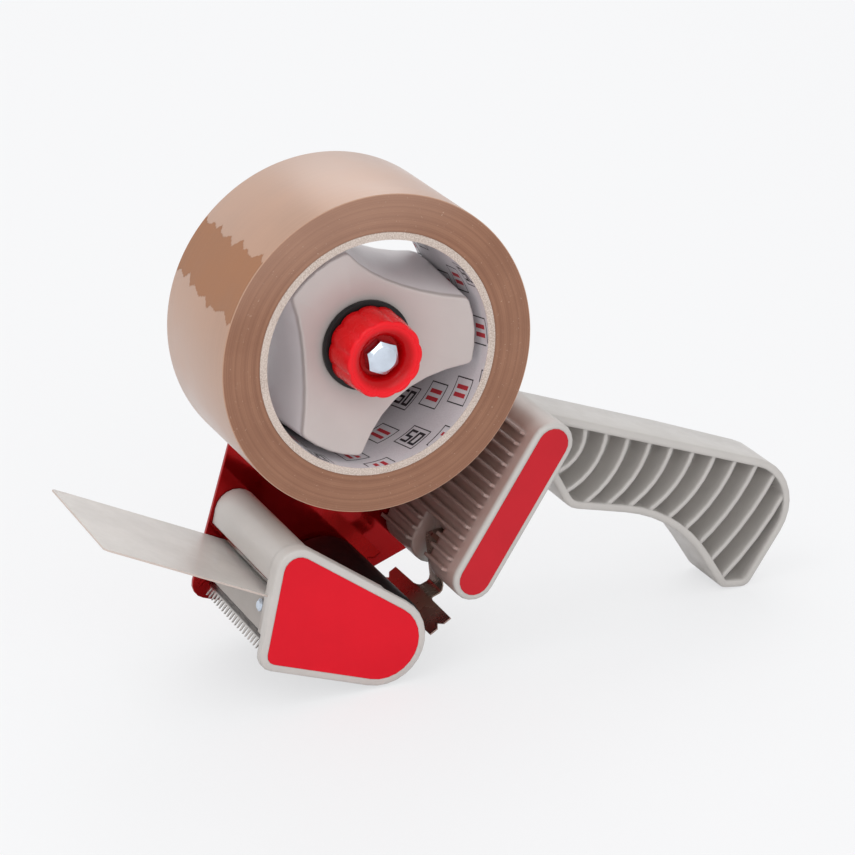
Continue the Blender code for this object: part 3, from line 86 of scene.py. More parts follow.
# The hub's dished front: its flat middle's radius and place, and the slope of the lobes.
HUB_FLAT, HUB_FRONT, HUB_SLOPE = 0.0158, HUB.y - 0.0134, 0.42

# Radii where the knob's colour changes: painted shade in the dish gives way to painted light on the
# front rim between the first two, and that light gives way to the side's red between the last two.
DISH_START, DISH_END, SIDE_START, SIDE_END = 0.0086, 0.0112, 0.0125, 0.0131


def tone(red, green, blue):
    """Linear colour of a screen colour given from 0 to 255."""
    def linear(c):
        c = c / 255
        return c / 12.92 if c <= 0.04045 else ((c + 0.055) / 1.055) ** 2.4
    return (linear(red), linear(green), linear(blue), 1)


def shade(colour, factor):
    return tuple(min(1, c * factor) for c in colour[:3]) + (1,)


class Nodes:
    """Short ways to add nodes to a tree. A socket is given by name, or by number after an underscore."""

    def __init__(self, tree):
        self.tree = tree

    def fill(self, node, sockets):
        for name, value in sockets.items():
            socket = node.inputs[int(name[1:]) if name[1:].isdigit() else name.replace("_", " ")]
            if isinstance(value, bpy.types.NodeSocket):
                self.tree.links.new(value, socket)
            else:
                socket.default_value = value

    def make(self, kind, settings=None, **sockets):
        node = self.tree.nodes.new("ShaderNode" + kind)
        for name, value in (settings or {}).items():
            setattr(node, name, value)
        self.fill(node, sockets)
        return node

    def add(self, kind, settings=None, **sockets):
        return self.make(kind, settings, **sockets).outputs[0]

    def math(self, operation, a, b=0.0):
        return self.add("Math", {"operation": operation}, _0=a, _1=b)

    def product(self, value, *others):
        for other in others:
            value = self.math("MULTIPLY", value, other)
        return value

    def show(self, surface, output):
        self.tree.links.new(surface, self.tree.nodes[output].inputs["Surface"])


class Look(Nodes):
    """A material with a Principled shader."""

    def __init__(self, name, colour, rough, **sockets):
        self.material = bpy.data.materials.new(name)
        self.material.use_nodes = True
        super().__init__(self.material.node_tree)
        self.shader = self.tree.nodes["Principled BSDF"]
        self.place = None
        self.set(Base_Color=colour, Roughness=rough, **sockets)
        self.material.diffuse_color = colour

    def set(self, **sockets):
        self.fill(self.shader, sockets)

    def at(self, scale=None, move=(0, 0, 0)):
        """Rest place of the surface point, stretched and moved if a scale is given."""
        if self.place is None:
            self.place = self.make("TexCoord").outputs["Object"]
        if scale is None:
            return self.place
        return self.add("Mapping", Vector=self.place, Location=move, Scale=scale)

    def xyz(self):
        """The three measures of the rest place."""
        return self.make("SeparateXYZ", _0=self.at()).outputs

    def radius(self):
        """Distance from the roll's axis."""
        flat = self.at((1, 0, 1), (-HUB.x, 0, -HUB.z))
        return self.make("VectorMath", {"operation": "LENGTH"}, _0=flat).outputs["Value"]

    def along(self, start, direction):
        """Distance from a point, measured along a direction."""
        node = self.make("VectorMath", {"operation": "DOT_PRODUCT"}, _0=self.at(), _1=direction)
        return self.math("SUBTRACT", node.outputs["Value"], Vector(start).dot(Vector(direction)))

    def noise(self, scale, detail, rough, place=None):
        place = place or self.at()
        return self.add("TexNoise", Vector=place, Scale=scale, Detail=detail, Roughness=rough)

    def line_noise(self, place, scale, detail, rough):
        """Noise that follows one measure only."""
        sockets = {"W": place, "Scale": scale, "Detail": detail, "Roughness": rough}
        return self.add("TexNoise", {"noise_dimensions": "1D"}, **sockets)

    def span(self, value, low, high, new_low=0.0, new_high=1.0, smooth=True):
        """The value stretched from low..high to new_low..new_high and held there."""
        settings = {"interpolation_type": "SMOOTHSTEP" if smooth else "LINEAR"}
        return self.add("MapRange", settings, _0=value, _1=low, _2=high, _3=new_low, _4=new_high)

    def mix(self, share, a, b):
        return self.make("Mix", {"data_type": "RGBA"}, _0=share, _6=a, _7=b).outputs[2]

    def mottled(self, colour, cloud, dark, light, low=0.3, high=0.7):
        """The colour times dark where the cloud is low, and times light where it is high."""
        return self.mix(self.span(cloud, low, high), shade(colour, dark), shade(colour, light))

    def bump(self, height, strength, distance, under=None):
        sockets = {} if under is None else {"Normal": under}
        return self.add("Bump", Height=height, Strength=strength, Distance=distance, **sockets)


def moulded_plastic(name, colour, rough, grain=0.12, soft=0.0, samples=6, tint=None, **sockets):
    """Injection moulded plastic with faint flow marks, fine grain and uneven gloss.

    soft is the radius of edges rounded in the shading, and tint changes the colour from place to place.
    """
    look = Look(name, colour, rough, IOR=1.5, **sockets)
    base = look.mottled(colour, look.noise(38, 4, 0.55), 0.955, 1.03)
    look.set(Base_Color=tint(look, base) if tint else base)
    look.set(Roughness=look.span(look.noise(160, 4, 0.6), 0.3, 0.7, rough - 0.05, rough + 0.06))
    edge = look.add("Bevel", {"samples": samples}, Radius=soft) if soft else None
    waves = look.bump(look.noise(90, 2, 0.5), 0.05, 0.001, edge)
    look.set(Normal=look.bump(look.noise(5200, 2, 0.6), grain, 0.00006, waves))
    return look.material


def wall_painted_shade(look, base):
    """Painted shade on the front wall under the flap."""
    place = look.xyz()
    face = look.span(look.math("ABSOLUTE", look.along(LIP, WALL_OUT)), 0.0012, 0.002, 1, 0)
    inside = look.span(place[1], -0.029, -0.028)
    below = look.span(place[2], 0.036, 0.0385, 1, 0)
    # Painted shade: a darker grey where the three masks meet.
    return look.mix(look.product(face, inside, below), base, tone(165, 157, 151))


def flanks_painted_light(look, base):
    """Painted light behind the dished front of the hub's lobes, for light thrown back by the core's
    liner.
    """
    beyond = look.math("MAXIMUM", look.math("SUBTRACT", look.radius(), HUB_FLAT), 0.0)
    behind = look.math("SUBTRACT", look.xyz()[1], HUB_FRONT)
    depth = look.math("ADD", behind, look.math("MULTIPLY", beyond, HUB_SLOPE))
    # Painted light: a lighter grey on the flanks, deeper than the dished front.
    return look.mix(look.span(depth, 0.0012, 0.0036), base, tone(233, 227, 227))


def ribs_painted_shade(look, base):
    """Painted shade, warm from reflected light, in the ribs of the strut that face the roll."""
    left = look.span(look.along(STRUT_FOOT, STRUT_LEFT), -0.002, 0.004)
    deep = look.span(look.xyz()[1], -0.0314, -0.0296)
    low = look.span(look.along(STRUT_FOOT, STRUT_UP), 0.05, 0.062, 1, 0)
    uneven = look.span(look.noise(150, 4, 0.6), 0.2, 0.6, 0.8, 1)
    # Painted shade: a darker, warmer grey where the three masks and the noise meet.
    return look.mix(look.product(left, deep, low, uneven), base, tone(163, 135, 128))


def steel(name, colour, rough):
    """Bare or plated steel with fine streaks."""
    look = Look(name, colour, rough, Metallic=1.0)
    streak = look.noise(900, 4, 0.65)
    look.set(Base_Color=look.mottled(colour, look.noise(120, 3, 0.6), 0.86, 1.08))
    look.set(Roughness=look.span(streak, 0.25, 0.75, rough * 0.7, rough * 1.35))
    look.set(Normal=look.bump(streak, 0.12, 0.00005))
    return look.material


def make_spring_steel():
    """Blank spring steel, with a browner and duller middle."""
    look = Look("spring_steel", tone(168, 146, 138), 0.26, Metallic=0.9)
    away = look.math("ABSOLUTE", look.math("ADD", look.xyz()[1], 0.012))
    cloud = look.noise(140, 3, 0.55)
    middle = look.product(look.span(away, 0.004, 0.013, 1, 0), look.span(cloud, 0.25, 0.6, 0.6, 1))
    look.set(Base_Color=look.mix(middle, tone(150, 128, 120), tone(128, 112, 98)))
    look.set(Metallic=look.span(middle, 0.0, 1.0, 0.92, 0.5, smooth=False))
    look.set(Roughness=look.span(cloud, 0.25, 0.75, 0.22, 0.32))
    look.set(Normal=look.bump(look.noise(900, 3, 0.6), 0.03, 0.00005))
    return look.material


def make_knob_red():
    """Glossy red plastic, with painted light on the knob's front rim round the dish and painted shade in
    the dish.
    """
    look = Look("knob_red", tone(216, 6, 14), 0.26, IOR=1.5, Specular_IOR_Level=0.14, Coat_Weight=0.07,
                Coat_Roughness=0.05)
    reach = look.radius()
    cloud = look.span(look.noise(60, 3, 0.5), 0.3, 0.7)
    rim = look.mix(cloud, tone(212, 8, 16), tone(221, 10, 18))
    # Painted light: a lighter red on the front rim round the dish, giving way to the side's red.
    side = look.mix(look.span(reach, SIDE_START, SIDE_END), tone(226, 26, 36), rim)
    # Painted shade: a darker red in the dish.
    look.set(Base_Color=look.mix(look.span(reach, DISH_START, DISH_END), tone(176, 5, 10), side))
    look.set(Roughness=look.span(look.noise(160, 3, 0.6), 0.3, 0.7, 0.22, 0.3))
    look.set(Normal=look.bump(look.noise(5200, 2, 0.6), 0.03, 0.00006))
    return look.material


def make_red_paint():
    """Glossy red metallic coat that mirrors what stands beside it."""
    colour = tone(158, 7, 12)
    look = Look("red_paint", colour, 0.1, Metallic=0.75, Specular_IOR_Level=0.2, Coat_Weight=0.12,
                Coat_Roughness=0.04)
    look.set(Base_Color=look.mottled(colour, look.noise(30, 3, 0.5), 0.93, 1.05, 0.35, 0.65))
    look.set(Roughness=look.span(look.noise(220, 4, 0.6), 0.35, 0.7, 0.07, 0.15))
    look.set(Normal=look.bump(look.noise(260, 2, 0.5), 0.03, 0.0004))
    return look.material


def make_tape_side():
    """Wound edges of the tape: fine rings with small specks, and painted light towards the top."""
    look = Look("tape_side", tone(156, 113, 88), 0.45)
    ring = look.radius()
    fine = look.line_noise(ring, 5200.0, 3.0, 0.7)
    wide = look.line_noise(ring, 620.0, 2.0, 0.6)
    # high runs up the side of the roll; the last tone below is painted light, lighter towards the top.
    high = look.along((HUB.x, 0, HUB.z + 0.024), (-0.25, 0, 0.97))
    base = look.mix(look.span(wide, 0.3, 0.7), tone(124, 80, 57), tone(141, 97, 72))
    for share, colour in ((look.span(fine, 0.35, 0.75, 0, 0.55), tone(157, 115, 90)),
                          (look.span(look.noise(70, 3, 0.5), 0.35, 0.7, 0, 0.3), tone(116, 73, 50)),
                          (look.span(look.noise(1500, 2, 0.6), 0.67, 0.8, 0, 0.6), tone(206, 182, 160)),
                          (look.span(high, 0.0, 0.026, 0, 0.3), tone(176, 142, 124))):
        base = look.mix(share, base, colour)
    look.set(Base_Color=base, Roughness=look.span(fine, 0.3, 0.7, 0.36, 0.55))
    look.set(Normal=look.bump(fine, 0.22, 0.00008, look.bump(wide, 0.08, 0.0002)))
    return look.material


def make_film(name, colour, coat):
    """Glossy adhesive film, drawn round the roll."""
    look = Look(name, colour, 0.36, Specular_IOR_Level=0.4, Coat_Weight=coat, Coat_Roughness=0.34)
    streak = look.line_noise(look.xyz()[1], 900.0, 4.0, 0.6)
    cloud = look.noise(45, 3, 0.55)
    base = look.mottled(colour, cloud, 0.95, 1.05)
    look.set(Base_Color=look.mix(look.span(streak, 0.3, 0.75, 0, 0.4), base, shade(colour, 1.1)))
    look.set(Roughness=look.span(cloud, 0.3, 0.7, 0.32, 0.42))
    look.set(Normal=look.bump(streak, 0.05, 0.0001, look.bump(look.noise(22, 2, 0.5), 0.05, 0.002)))
    return look.material


def make_board(name, light, dark, rough):
    """Cardboard with visible fibres."""
    look = Look(name, light, rough)
    speck = look.noise(2100, 3, 0.65)
    cloud = look.noise(160, 3, 0.6)
    base = look.mix(look.span(speck, 0.36, 0.64), dark, light)
    look.set(Base_Color=look.mix(look.span(cloud, 0.3, 0.7, 0, 0.3), base, shade(light, 1.06)))
    look.set(Roughness=look.span(speck, 0.3, 0.7, rough - 0.08, rough + 0.06))
    look.set(Normal=look.bump(speck, 0.3, 0.00012))
    return look.material


def make_blade_steel():
    """Dark hardened steel whose ground teeth are bright."""
    look = Look("blade_steel", tone(84, 80, 76), 0.3, Metallic=1.0)
    teeth = look.span(look.along(LIP, WALL_DOWN), 0.0032, 0.0042)
    streak = look.noise(1400, 4, 0.6, look.at((1, 0.2, 1)))
    dark = look.mix(look.span(streak, 0.3, 0.7), tone(66, 62, 60), tone(108, 102, 98))
    look.set(Base_Color=look.mix(teeth, dark, tone(196, 192, 188)))
    look.set(Roughness=look.span(streak, 0.25, 0.75, 0.2, 0.38))
    look.set(Normal=look.bump(streak, 0.15, 0.00005))
    return look.material


def make_frosted():
    """Milky translucent film."""
    look = Look("frosted", tone(215, 211, 207), 0.38, IOR=1.46, Alpha=0.76)
    cloud = look.span(look.noise(60, 3, 0.5), 0.3, 0.7)
    look.set(Base_Color=look.mix(cloud, tone(210, 206, 202), tone(220, 216, 212)))
    look.set(Roughness=look.span(look.noise(300, 3, 0.6), 0.3, 0.7, 0.3, 0.46))
    look.set(Normal=look.bump(look.noise(2600, 2, 0.5), 0.06, 0.00005))
    return look.material


# The grey plastics carry painted shade on the front wall under the flap and in the strut's ribs, and
# painted light on the hub's flanks.
grey_plastic = moulded_plastic("grey_plastic", tone(192, 187, 183), 0.36, soft=0.0008, tint=wall_painted_shade)
hub_grey = moulded_plastic("hub_grey", tone(186, 176, 173), 0.34, soft=0.0008, tint=flanks_painted_light)
handle_grey = moulded_plastic("handle_grey", tone(187, 183, 179), 0.36, soft=0.0018, samples=8,
                              tint=ribs_painted_shade)
red_label = moulded_plastic("red_label", tone(212, 17, 36), 0.4, 0.04, Specular_IOR_Level=0.15)
handle_red = moulded_plastic("handle_red", tone(187, 28, 40), 0.4, 0.04, Specular_IOR_Level=0.18)
black_plastic = moulded_plastic("black_plastic", tone(13, 13, 14), 0.4, Specular_IOR_Level=0.3)
black_rubber = moulded_plastic("black_rubber", tone(15, 13, 14), 0.5, 0.2, Specular_IOR_Level=0.25)
knob_red = make_knob_red()
red_paint = make_red_paint()
zinc = steel("zinc", tone(205, 214, 226), 0.2)
bright_steel = steel("bright_steel", tone(190, 184, 180), 0.12)
spring_steel = make_spring_steel()
blade_steel = make_blade_steel()
tape_side = make_tape_side()
film = make_film("tape_film", tone(170, 131, 107), 0.7)
film_end = make_film("tape_end", tone(148, 98, 62), 0.0)
board = make_board("board", tone(206, 193, 184), tone(166, 148, 136), 0.8)
liner = make_board("core_liner", tone(206, 203, 206), tone(196, 192, 196), 0.6)
ink = moulded_plastic("ink", tone(26, 22, 28), 0.6)
ink_red = moulded_plastic("ink_red", tone(178, 44, 54), 0.6)
frosted = make_frosted()
frosted_edge = moulded_plastic("frosted_edge", tone(200, 185, 176), 0.4, 0.04, Alpha=0.84)

FINISH = {
    "side_frame": red_paint, "front_housing": grey_plastic, "cutting_blade": blade_steel,
    "blade_screw_near": zinc, "blade_screw_far": zinc, "flap_clamp": bright_steel,
    "flap_rivet_near": zinc, "flap_rivet_far": zinc, "roller_axle": bright_steel, "axle_screw": zinc,
    "roller_core": black_plastic, "handle_screw_low": zinc, "handle_screw_middle": zinc,
    "handle_screw_top": zinc, "housing_screw_bar": zinc, "housing_screw_shelf": zinc,
    "anti_return_spring": spring_steel, "hub": hub_grey, "brake_spring": bright_steel,
    "hub_bushing": bright_steel, "rear_washer": bright_steel, "weld_nut": zinc,
}
LABELS = {"front_label": red_label, "handle_label": handle_red}

# Widths of rounded edges, how far a label reaches past its solid, and the angle that counts as an edge.
EDGE, LABEL_EDGE, GRIP_EDGE, LABEL_SWELL, SHARP = 0.0003, 0.00012, 0.00055, 0.00028, 28

# Points nearer than SAME are one point, a point within NEAR of a plane lies on it, and faces that turn
# by less than FLAT are one face.
SAME, NEAR, FLAT = 1e-6, 1e-5, math.radians(0.5)

# Points on a full turn, and the corners of a square about its middle.
ROUND = 192
SQUARE = ((-1, -1), (1, -1), (1, 1), (-1, 1))

# The grip's web, where its taper starts and ends, and the share of its depth that goes.
GRIP_WEB, GRIP_BEND, GRIP_END, GRIP_TAPER = -0.0011, 0.085, 0.1276, 0.4

# The cheek's rim below the blade: where it gets lower, where that ends, its top, its back and what goes.
RIM_START, RIM_END, RIM_TOP, RIM_BACK, RIM_LOST = -0.0700, -0.0748, 0.0225, -0.0264, 0.0026


def placed(name, data):
    """A new object in the scene."""
    item = bpy.data.objects.new(name, data)
    bpy.context.scene.collection.objects.link(item)
    return item


def edit(mesh, *changes):
    """Makes changes to the mesh's editable form."""
    shape = bmesh.new()
    shape.from_mesh(mesh)
    for change in changes:
        change(shape)
    shape.to_mesh(mesh)
    shape.free()


def finished(name, mesh, body, nodes, edge=0.0, steps=2, angle=SHARP):
    """A smooth object with rounded edges that rides on a body, in place of CAD nodes."""
    limit = math.radians(angle)

    def sharpened(shape):
        for rib in shape.edges:
            rib.smooth = len(rib.link_faces) == 2 and rib.calc_face_angle(0) < limit

    for polygon in mesh.polygons:
        polygon.use_smooth = True
    edit(mesh, sharpened)
    piece = placed(name, mesh)
    if edge:
        bevel = piece.modifiers.new("rounded", "BEVEL")
        bevel.width, bevel.segments = edge, steps
        bevel.limit_method, bevel.angle_limit = "ANGLE", limit
        bevel.harden_normals = True
    if body:
        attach(piece, body)
    if nodes:
        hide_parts(*nodes)
    return piece


def cut_across(shape, x):
    """New edges where the shape crosses a plane at x."""
    everything = shape.verts[:] + shape.edges[:] + shape.faces[:]
    bmesh.ops.bisect_plane(shape, geom=everything, plane_co=(x, 0, 0), plane_no=(1, 0, 0), dist=SAME)


def tapered(shape):
    """The far half of the grip gets thinner towards its tip."""
    cut_across(shape, GRIP_BEND)
    for vert in shape.verts:
        if vert.co.x > GRIP_BEND and vert.co.y > GRIP_WEB:
            share = 1 - GRIP_TAPER * (vert.co.x - GRIP_BEND) / (GRIP_END - GRIP_BEND)
            vert.co.y = GRIP_WEB + (vert.co.y - GRIP_WEB) * share


def lowered(shape):
    """The rim of the cheek starts low under the blade and gets its full depth round the corner."""
    cut_across(shape, RIM_START)
    for vert in shape.verts:
        if vert.co.x < RIM_START and vert.co.z < RIM_TOP and abs(vert.co.y - RIM_BACK) < NEAR:
            vert.co.y -= RIM_LOST * min(1, (RIM_START - vert.co.x) / (RIM_START - RIM_END))


def swollen(shape):
    """A label's outline reaches to the edge of its seat."""
    shape.normal_update()
    moves = []
    for vert in shape.verts:
        out = sum((face.normal for face in vert.link_faces if abs(face.normal.y) < 0.5), Vector())
        moves.append(out.normalized() * LABEL_SWELL)
    for vert, move in zip(shape.verts, moves):
        vert.co += move


def welded(shape):
    """Points that fall together become one, and triangles in one plane become one face."""
    bmesh.ops.remove_doubles(shape, verts=shape.verts, dist=SAME)
    bmesh.ops.dissolve_limit(shape, angle_limit=FLAT, verts=shape.verts, edges=shape.edges)


def dressed(node, material, edge, *changes, steps=2):
    """The CAD node again, with welded faces, rounded edges and smooth shading, in its place."""
    mesh = NODES[node].data.copy()
    mesh.materials.clear()
    mesh.materials.append(material)
    for polygon in mesh.polygons:
        polygon.material_index = 0
    edit(mesh, welded, *changes)
    finished(node + "_finished", mesh, NODES[node]["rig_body"], (node,), edge, steps)


for node, material in FINISH.items():
    changes = (lowered,) if node == "front_housing" else ()
    dressed(node, material, 0 if "screw" in node else EDGE, *changes)
for node, material in LABELS.items():
    dressed(node, material, LABEL_EDGE, swollen)
dressed("handle", handle_grey, GRIP_EDGE, tapered, steps=3)


def cleaned(shape):
    """No loose points, and every face turned outwards."""
    loose = [vert for vert in shape.verts if not vert.link_faces]
    bmesh.ops.delete(shape, geom=loose, context="VERTS")
    bmesh.ops.recalc_face_normals(shape, faces=shape.faces)


def mesh_of(name, points, faces, materials, kinds):
    """A mesh of points and faces; kinds holds the number of each face's material."""
    mesh = bpy.data.meshes.new(name)
    mesh.from_pydata([tuple(point) for point in points], [], faces)
    for material in materials:
        mesh.materials.append(material)
    mesh.polygons.foreach_set("material_index", kinds)
    edit(mesh, cleaned)
    return mesh


def ringed(name, rings, materials, kinds=None, closed=False):
    """A skin over rings of equally many points; its ends get faces unless it runs back to its start."""
    count = len(rings[0])
    kinds = kinds or [0] * len(rings)
    points = [point for ring in rings for point in ring]
    faces, marks = [], []
    for row in range(len(rings) if closed else len(rings) - 1):
        near, far = row * count, (row + 1) % len(rings) * count
        for index in range(count):
            after = (index + 1) % count
            faces.append((near + index, near + after, far + after, far + index))
            marks.append(kinds[row])
    if not closed:
        faces += [tuple(range(count)), tuple(range((len(rings) - 1) * count, len(rings) * count))]
        marks += [kinds[0], kinds[-1]]
    return mesh_of(name, points, faces, materials, marks)


def circle(radius, y, centre=HUB, steps=ROUND):
    """A ring about an axis along Y; the radius is a number or a function of the angle."""
    ring = []
    for step in range(steps):
        angle = math.tau * step / steps
        reach = radius(angle) if callable(radius) else radius
        x, z = centre.x + reach * math.cos(angle), centre.z + reach * math.sin(angle)
        ring.append(Vector((x, centre.y + y, z)))
    return ring


def rounded_loop(corners, edge, steps=3):
    """A closed loop with its corners (radius, y, kind) rounded; kind marks the run after a corner."""
    out = []
    for index, (radius, y, kind) in enumerate(corners):
        here = Vector((radius, y))
        before = Vector(corners[index - 1][:2])
        after = Vector(corners[(index + 1) % len(corners)][:2])
        start = here + (before - here).normalized() * edge
        end = here + (after - here).normalized() * edge
        for step in range(steps + 1):
            share = step / steps
            spot = start.lerp(here, share).lerp(here.lerp(end, share), share)
            out.append((spot.x, spot.y, kind))
    return out


def spun(name, body, node, inner, outer, near, far, edge, materials, kinds=(0, 0, 0, 0),
         centre=HUB, steps=ROUND):
    """A flat ring about an axis along Y, in place of a CAD node.

    kinds are the numbers of the materials of its near side, outside, far side and bore.
    """
    corners = tuple(zip((inner, outer, outer, inner), (near, near, far, far), kinds))
    loop = rounded_loop(corners, edge)
    rings = [circle(radius, y, centre, steps) for radius, y, _ in loop]
    mesh = ringed(name, rings, materials, [kind for _, _, kind in loop], closed=True)
    finished(name, mesh, body, (node,), angle=30)


# Roll: wound tape, its cut end, the core and the print on its liner.
CORE_BORE, CORE_OUTSIDE, ROLL_OUTSIDE, ROLL_HALF = 0.0381, 0.0406, 0.0531, 0.025
spun("tape_roll_wound", "roll", "tape_roll", CORE_OUTSIDE, ROLL_OUTSIDE, -ROLL_HALF, ROLL_HALF, 0.0003,
     (tape_side, film), (0, 1, 0, 0))
spun("core_tube", "roll", "cardboard_core", CORE_BORE, CORE_OUTSIDE, -ROLL_HALF, ROLL_HALF, 0.0002,
     (board, liner), (0, 0, 0, 1))

# The torn edges of the tape's end: place across the roll in millimetres, and angle in degrees.
TORN_HIGH = (
    (-24.7, 136.4), (-22.9, 136.0), (-21.5, 133.8), (-17.0, 137.2), (-13.1, 137.0), (-11.6, 135.7),
    (-9.0, 136.9), (-5.2, 134.1), (-1.4, 138.6), (2.8, 135.7), (6.4, 137.8), (10.0, 137.1),
    (12.2, 134.7), (14.0, 137.1), (17.5, 135.6), (20.0, 137.4), (22.2, 137.2), (24.7, 135.4))
TORN_LOW = (
    (-24.7, 159.2), (-22.6, 160.8), (-18.0, 157.4), (-14.3, 158.6), (-11.8, 159.7), (-7.4, 159.0),
    (-4.9, 161.0), (-1.8, 157.7), (3.0, 159.4), (8.5, 157.1), (11.7, 158.7), (14.4, 154.5),
    (17.9, 157.6), (22.0, 155.7), (24.7, 157.5))
TORN_HALF, TORN_STEPS, TORN_ROWS, TORN_FINE, TORN_RADIUS = 24.7, 60, 28, 0.3, 0.05314


def between(table, y):
    """The value of a table of (y, value) pairs at y."""
    for (low, first), (high, second) in zip(table, table[1:]):
        if y <= high:
            return first + (second - first) * max(0, y - low) / (high - low)
    return table[-1][1]


def tape_end():
    """The last turn of film, cut with teeth at both ends, standing a little proud of the roll."""
    even = {-TORN_HALF + 2 * TORN_HALF * step / TORN_STEPS for step in range(TORN_STEPS + 1)}
    columns = sorted({y for y, _ in TORN_HIGH + TORN_LOW} | even)
    points, faces = [], []
    for index, y in enumerate(columns):
        fine = TORN_FINE if index % 2 else -TORN_FINE
        high, low = between(TORN_HIGH, y) + fine, between(TORN_LOW, y) - fine
        for row in range(TORN_ROWS + 1):
            angle = math.radians(high + (low - high) * row / TORN_ROWS)
            place = Vector((TORN_RADIUS * math.cos(angle), y / 1000, TORN_RADIUS * math.sin(angle)))
            points.append(HUB + place)
    for column in range(len(columns) - 1):
        for row in range(TORN_ROWS):
            here = column * (TORN_ROWS + 1) + row
            faces.append((here, here + 1, here + TORN_ROWS + 2, here + TORN_ROWS + 1))
    mesh = mesh_of("tape_end", points, faces, (film_end,), [0] * len(faces))
    finished("tape_end", mesh, "roll", ())


tape_end()

# Print in millimetres: its radius and tilt, half sizes of a box, half the widths of the strokes.
PRINT_RADIUS, PRINT_TILT = 38.06, math.radians(-11)
BOX_WIDE, BOX_HIGH = 4.8, 4.5
FRAME_HALF, DIGIT_HALF, BAR_HALF = 0.21, 0.5, 0.75
DIGIT_WIDE, DIGIT_HIGH, DIGIT_LEFT = 1.25, 1.3, 2.1
BAR_REACH, BAR_HEIGHT = 2.6, 1.4
# The first box and the steps to the next column and row, as (across, around), and how far boxes go.
BOX_START, BOX_COLUMN, BOX_ROW = (-4.3, -28.2), (-12.5, 6.5), (2.2, -21.9)
BOX_COLUMNS, BOX_ROWS = range(-24, 25), range(-14, 15)
BOX_REACH, BOX_FROM, BOX_TO = 30, -120, 112
# Half the print's width, in metres.
PRINT_HALF = 0.0248
# A digit's strokes as (x, z, x, z), by the letters of a seven part display.
STROKES = {"a": (-1, 2, 1, 2), "b": (1, 0, 1, 2), "c": (1, -2, 1, 0), "d": (-1, -2, 1, -2),
           "e": (-1, -2, -1, 0), "f": (-1, 0, -1, 2), "g": (-1, 0, 1, 0)}
DIGITS = (("afgcd", DIGIT_LEFT), ("abcdef", -DIGIT_LEFT))


def core_print():
    """Tilted boxes with a plain number or two bars, printed round the inside of the core."""
    points, faces, kinds = [], [], []

    def stroke(middle, a, b, kind, half):
        """A printed stroke from a to b, in millimetres about the box's middle."""
        a, b = Vector(a), Vector(b)
        run = (b - a).normalized()
        side = Vector((-run.y, run.x)) * half
        count = max(2, math.ceil((b - a).length))
        first = len(points)
        for step in range(count + 1):
            spot = a - run * half + (b - a + run * 2 * half) * step / count
            for corner in (spot - side, spot + side):
                y = middle[0] + corner.x * math.cos(PRINT_TILT) - corner.y * math.sin(PRINT_TILT)
                arc = middle[1] + corner.x * math.sin(PRINT_TILT) + corner.y * math.cos(PRINT_TILT)
                angle = arc / PRINT_RADIUS
                reach = PRINT_RADIUS / 1000
                points.append(HUB + Vector((reach * math.cos(angle), y / 1000, reach * math.sin(angle))))
        for step in range(count):
            here = first + 2 * step
            if all(abs(points[here + more].y - HUB.y) < PRINT_HALF for more in range(4)):
                faces.append((here, here + 1, here + 3, here + 2))
                kinds.append(kind)

    def frame_of(middle):
        corners = [(x * BOX_WIDE, z * BOX_HIGH) for x, z in SQUARE]
        for start, end in zip(corners, corners[1:] + corners[:1]):
            stroke(middle, start, end, 0, FRAME_HALF)

    def number_in(middle):
        for parts, left in DIGITS:
            for part in parts:
                x0, z0, x1, z1 = STROKES[part]
                start = (left - x0 * DIGIT_WIDE, z0 * DIGIT_HIGH)
                end = (left - x1 * DIGIT_WIDE, z1 * DIGIT_HIGH)
                stroke(middle, start, end, 0, DIGIT_HALF)

    def bars_in(middle):
        for height in (-BAR_HEIGHT, BAR_HEIGHT):
            stroke(middle, (-BAR_REACH, height), (BAR_REACH, height), 1, BAR_HALF)

    for column in BOX_COLUMNS:
        for row in BOX_ROWS:
            y, arc = (start + over * column + up * row
                      for start, over, up in zip(BOX_START, BOX_COLUMN, BOX_ROW))
            if abs(y) > BOX_REACH or not BOX_FROM < arc <= BOX_TO:
                continue
            frame_of((y, arc))
            if (column + row) % 3 == 2:
                number_in((y, arc))
            else:
                bars_in((y, arc))
    mesh = mesh_of("core_print", points, faces, (ink, ink_red), kinds)
    finished("core_print", mesh, "roll", ())


core_print()

# Brake knob: its ends and the seat of the bolt's head along Y, then its radii.
KNOB_BACK, KNOB_FRONT, KNOB_SEAT = -0.0161, -0.0298, -0.0244
KNOB_WIDE, KNOB_SLIM, KNOB_ROUND = 0.0139, 0.0129, 0.0008
LOBES, LOBE_DEPTH, LOBE_TURN = 12, 0.0007, math.radians(15.7)
DISH_RIM, DISH_REACH, DISH_DROP, DISH_DEPTH = 0.01125, 0.00445, 0.0003, 0.0051
SEAT_RADIUS, BOLT_HOLE, SPRING_ROOM, SEAT_FLOOR = 0.0066, 0.0033, 0.0078, 0.0024
# The knob's rounded foot as (radius, way from the back).
KNOB_FOOT = ((0.0134, 0), (0.01375, 0.00025), (KNOB_WIDE, 0.0006))
# The rim round its dish as (radius, depth of the lobes, way from the front).
KNOB_RIM = ((0.0117, 0.0002, 0.00002), (0.0114, 0, 0.0001), (DISH_RIM, 0, DISH_DROP))


def scalloped(radius, depth=LOBE_DEPTH):
    """Reach of the knob's lobes at an angle."""
    return lambda angle: radius - depth * (1 - abs(math.sin((angle - LOBE_TURN) * LOBES / 2)) ** 0.6)


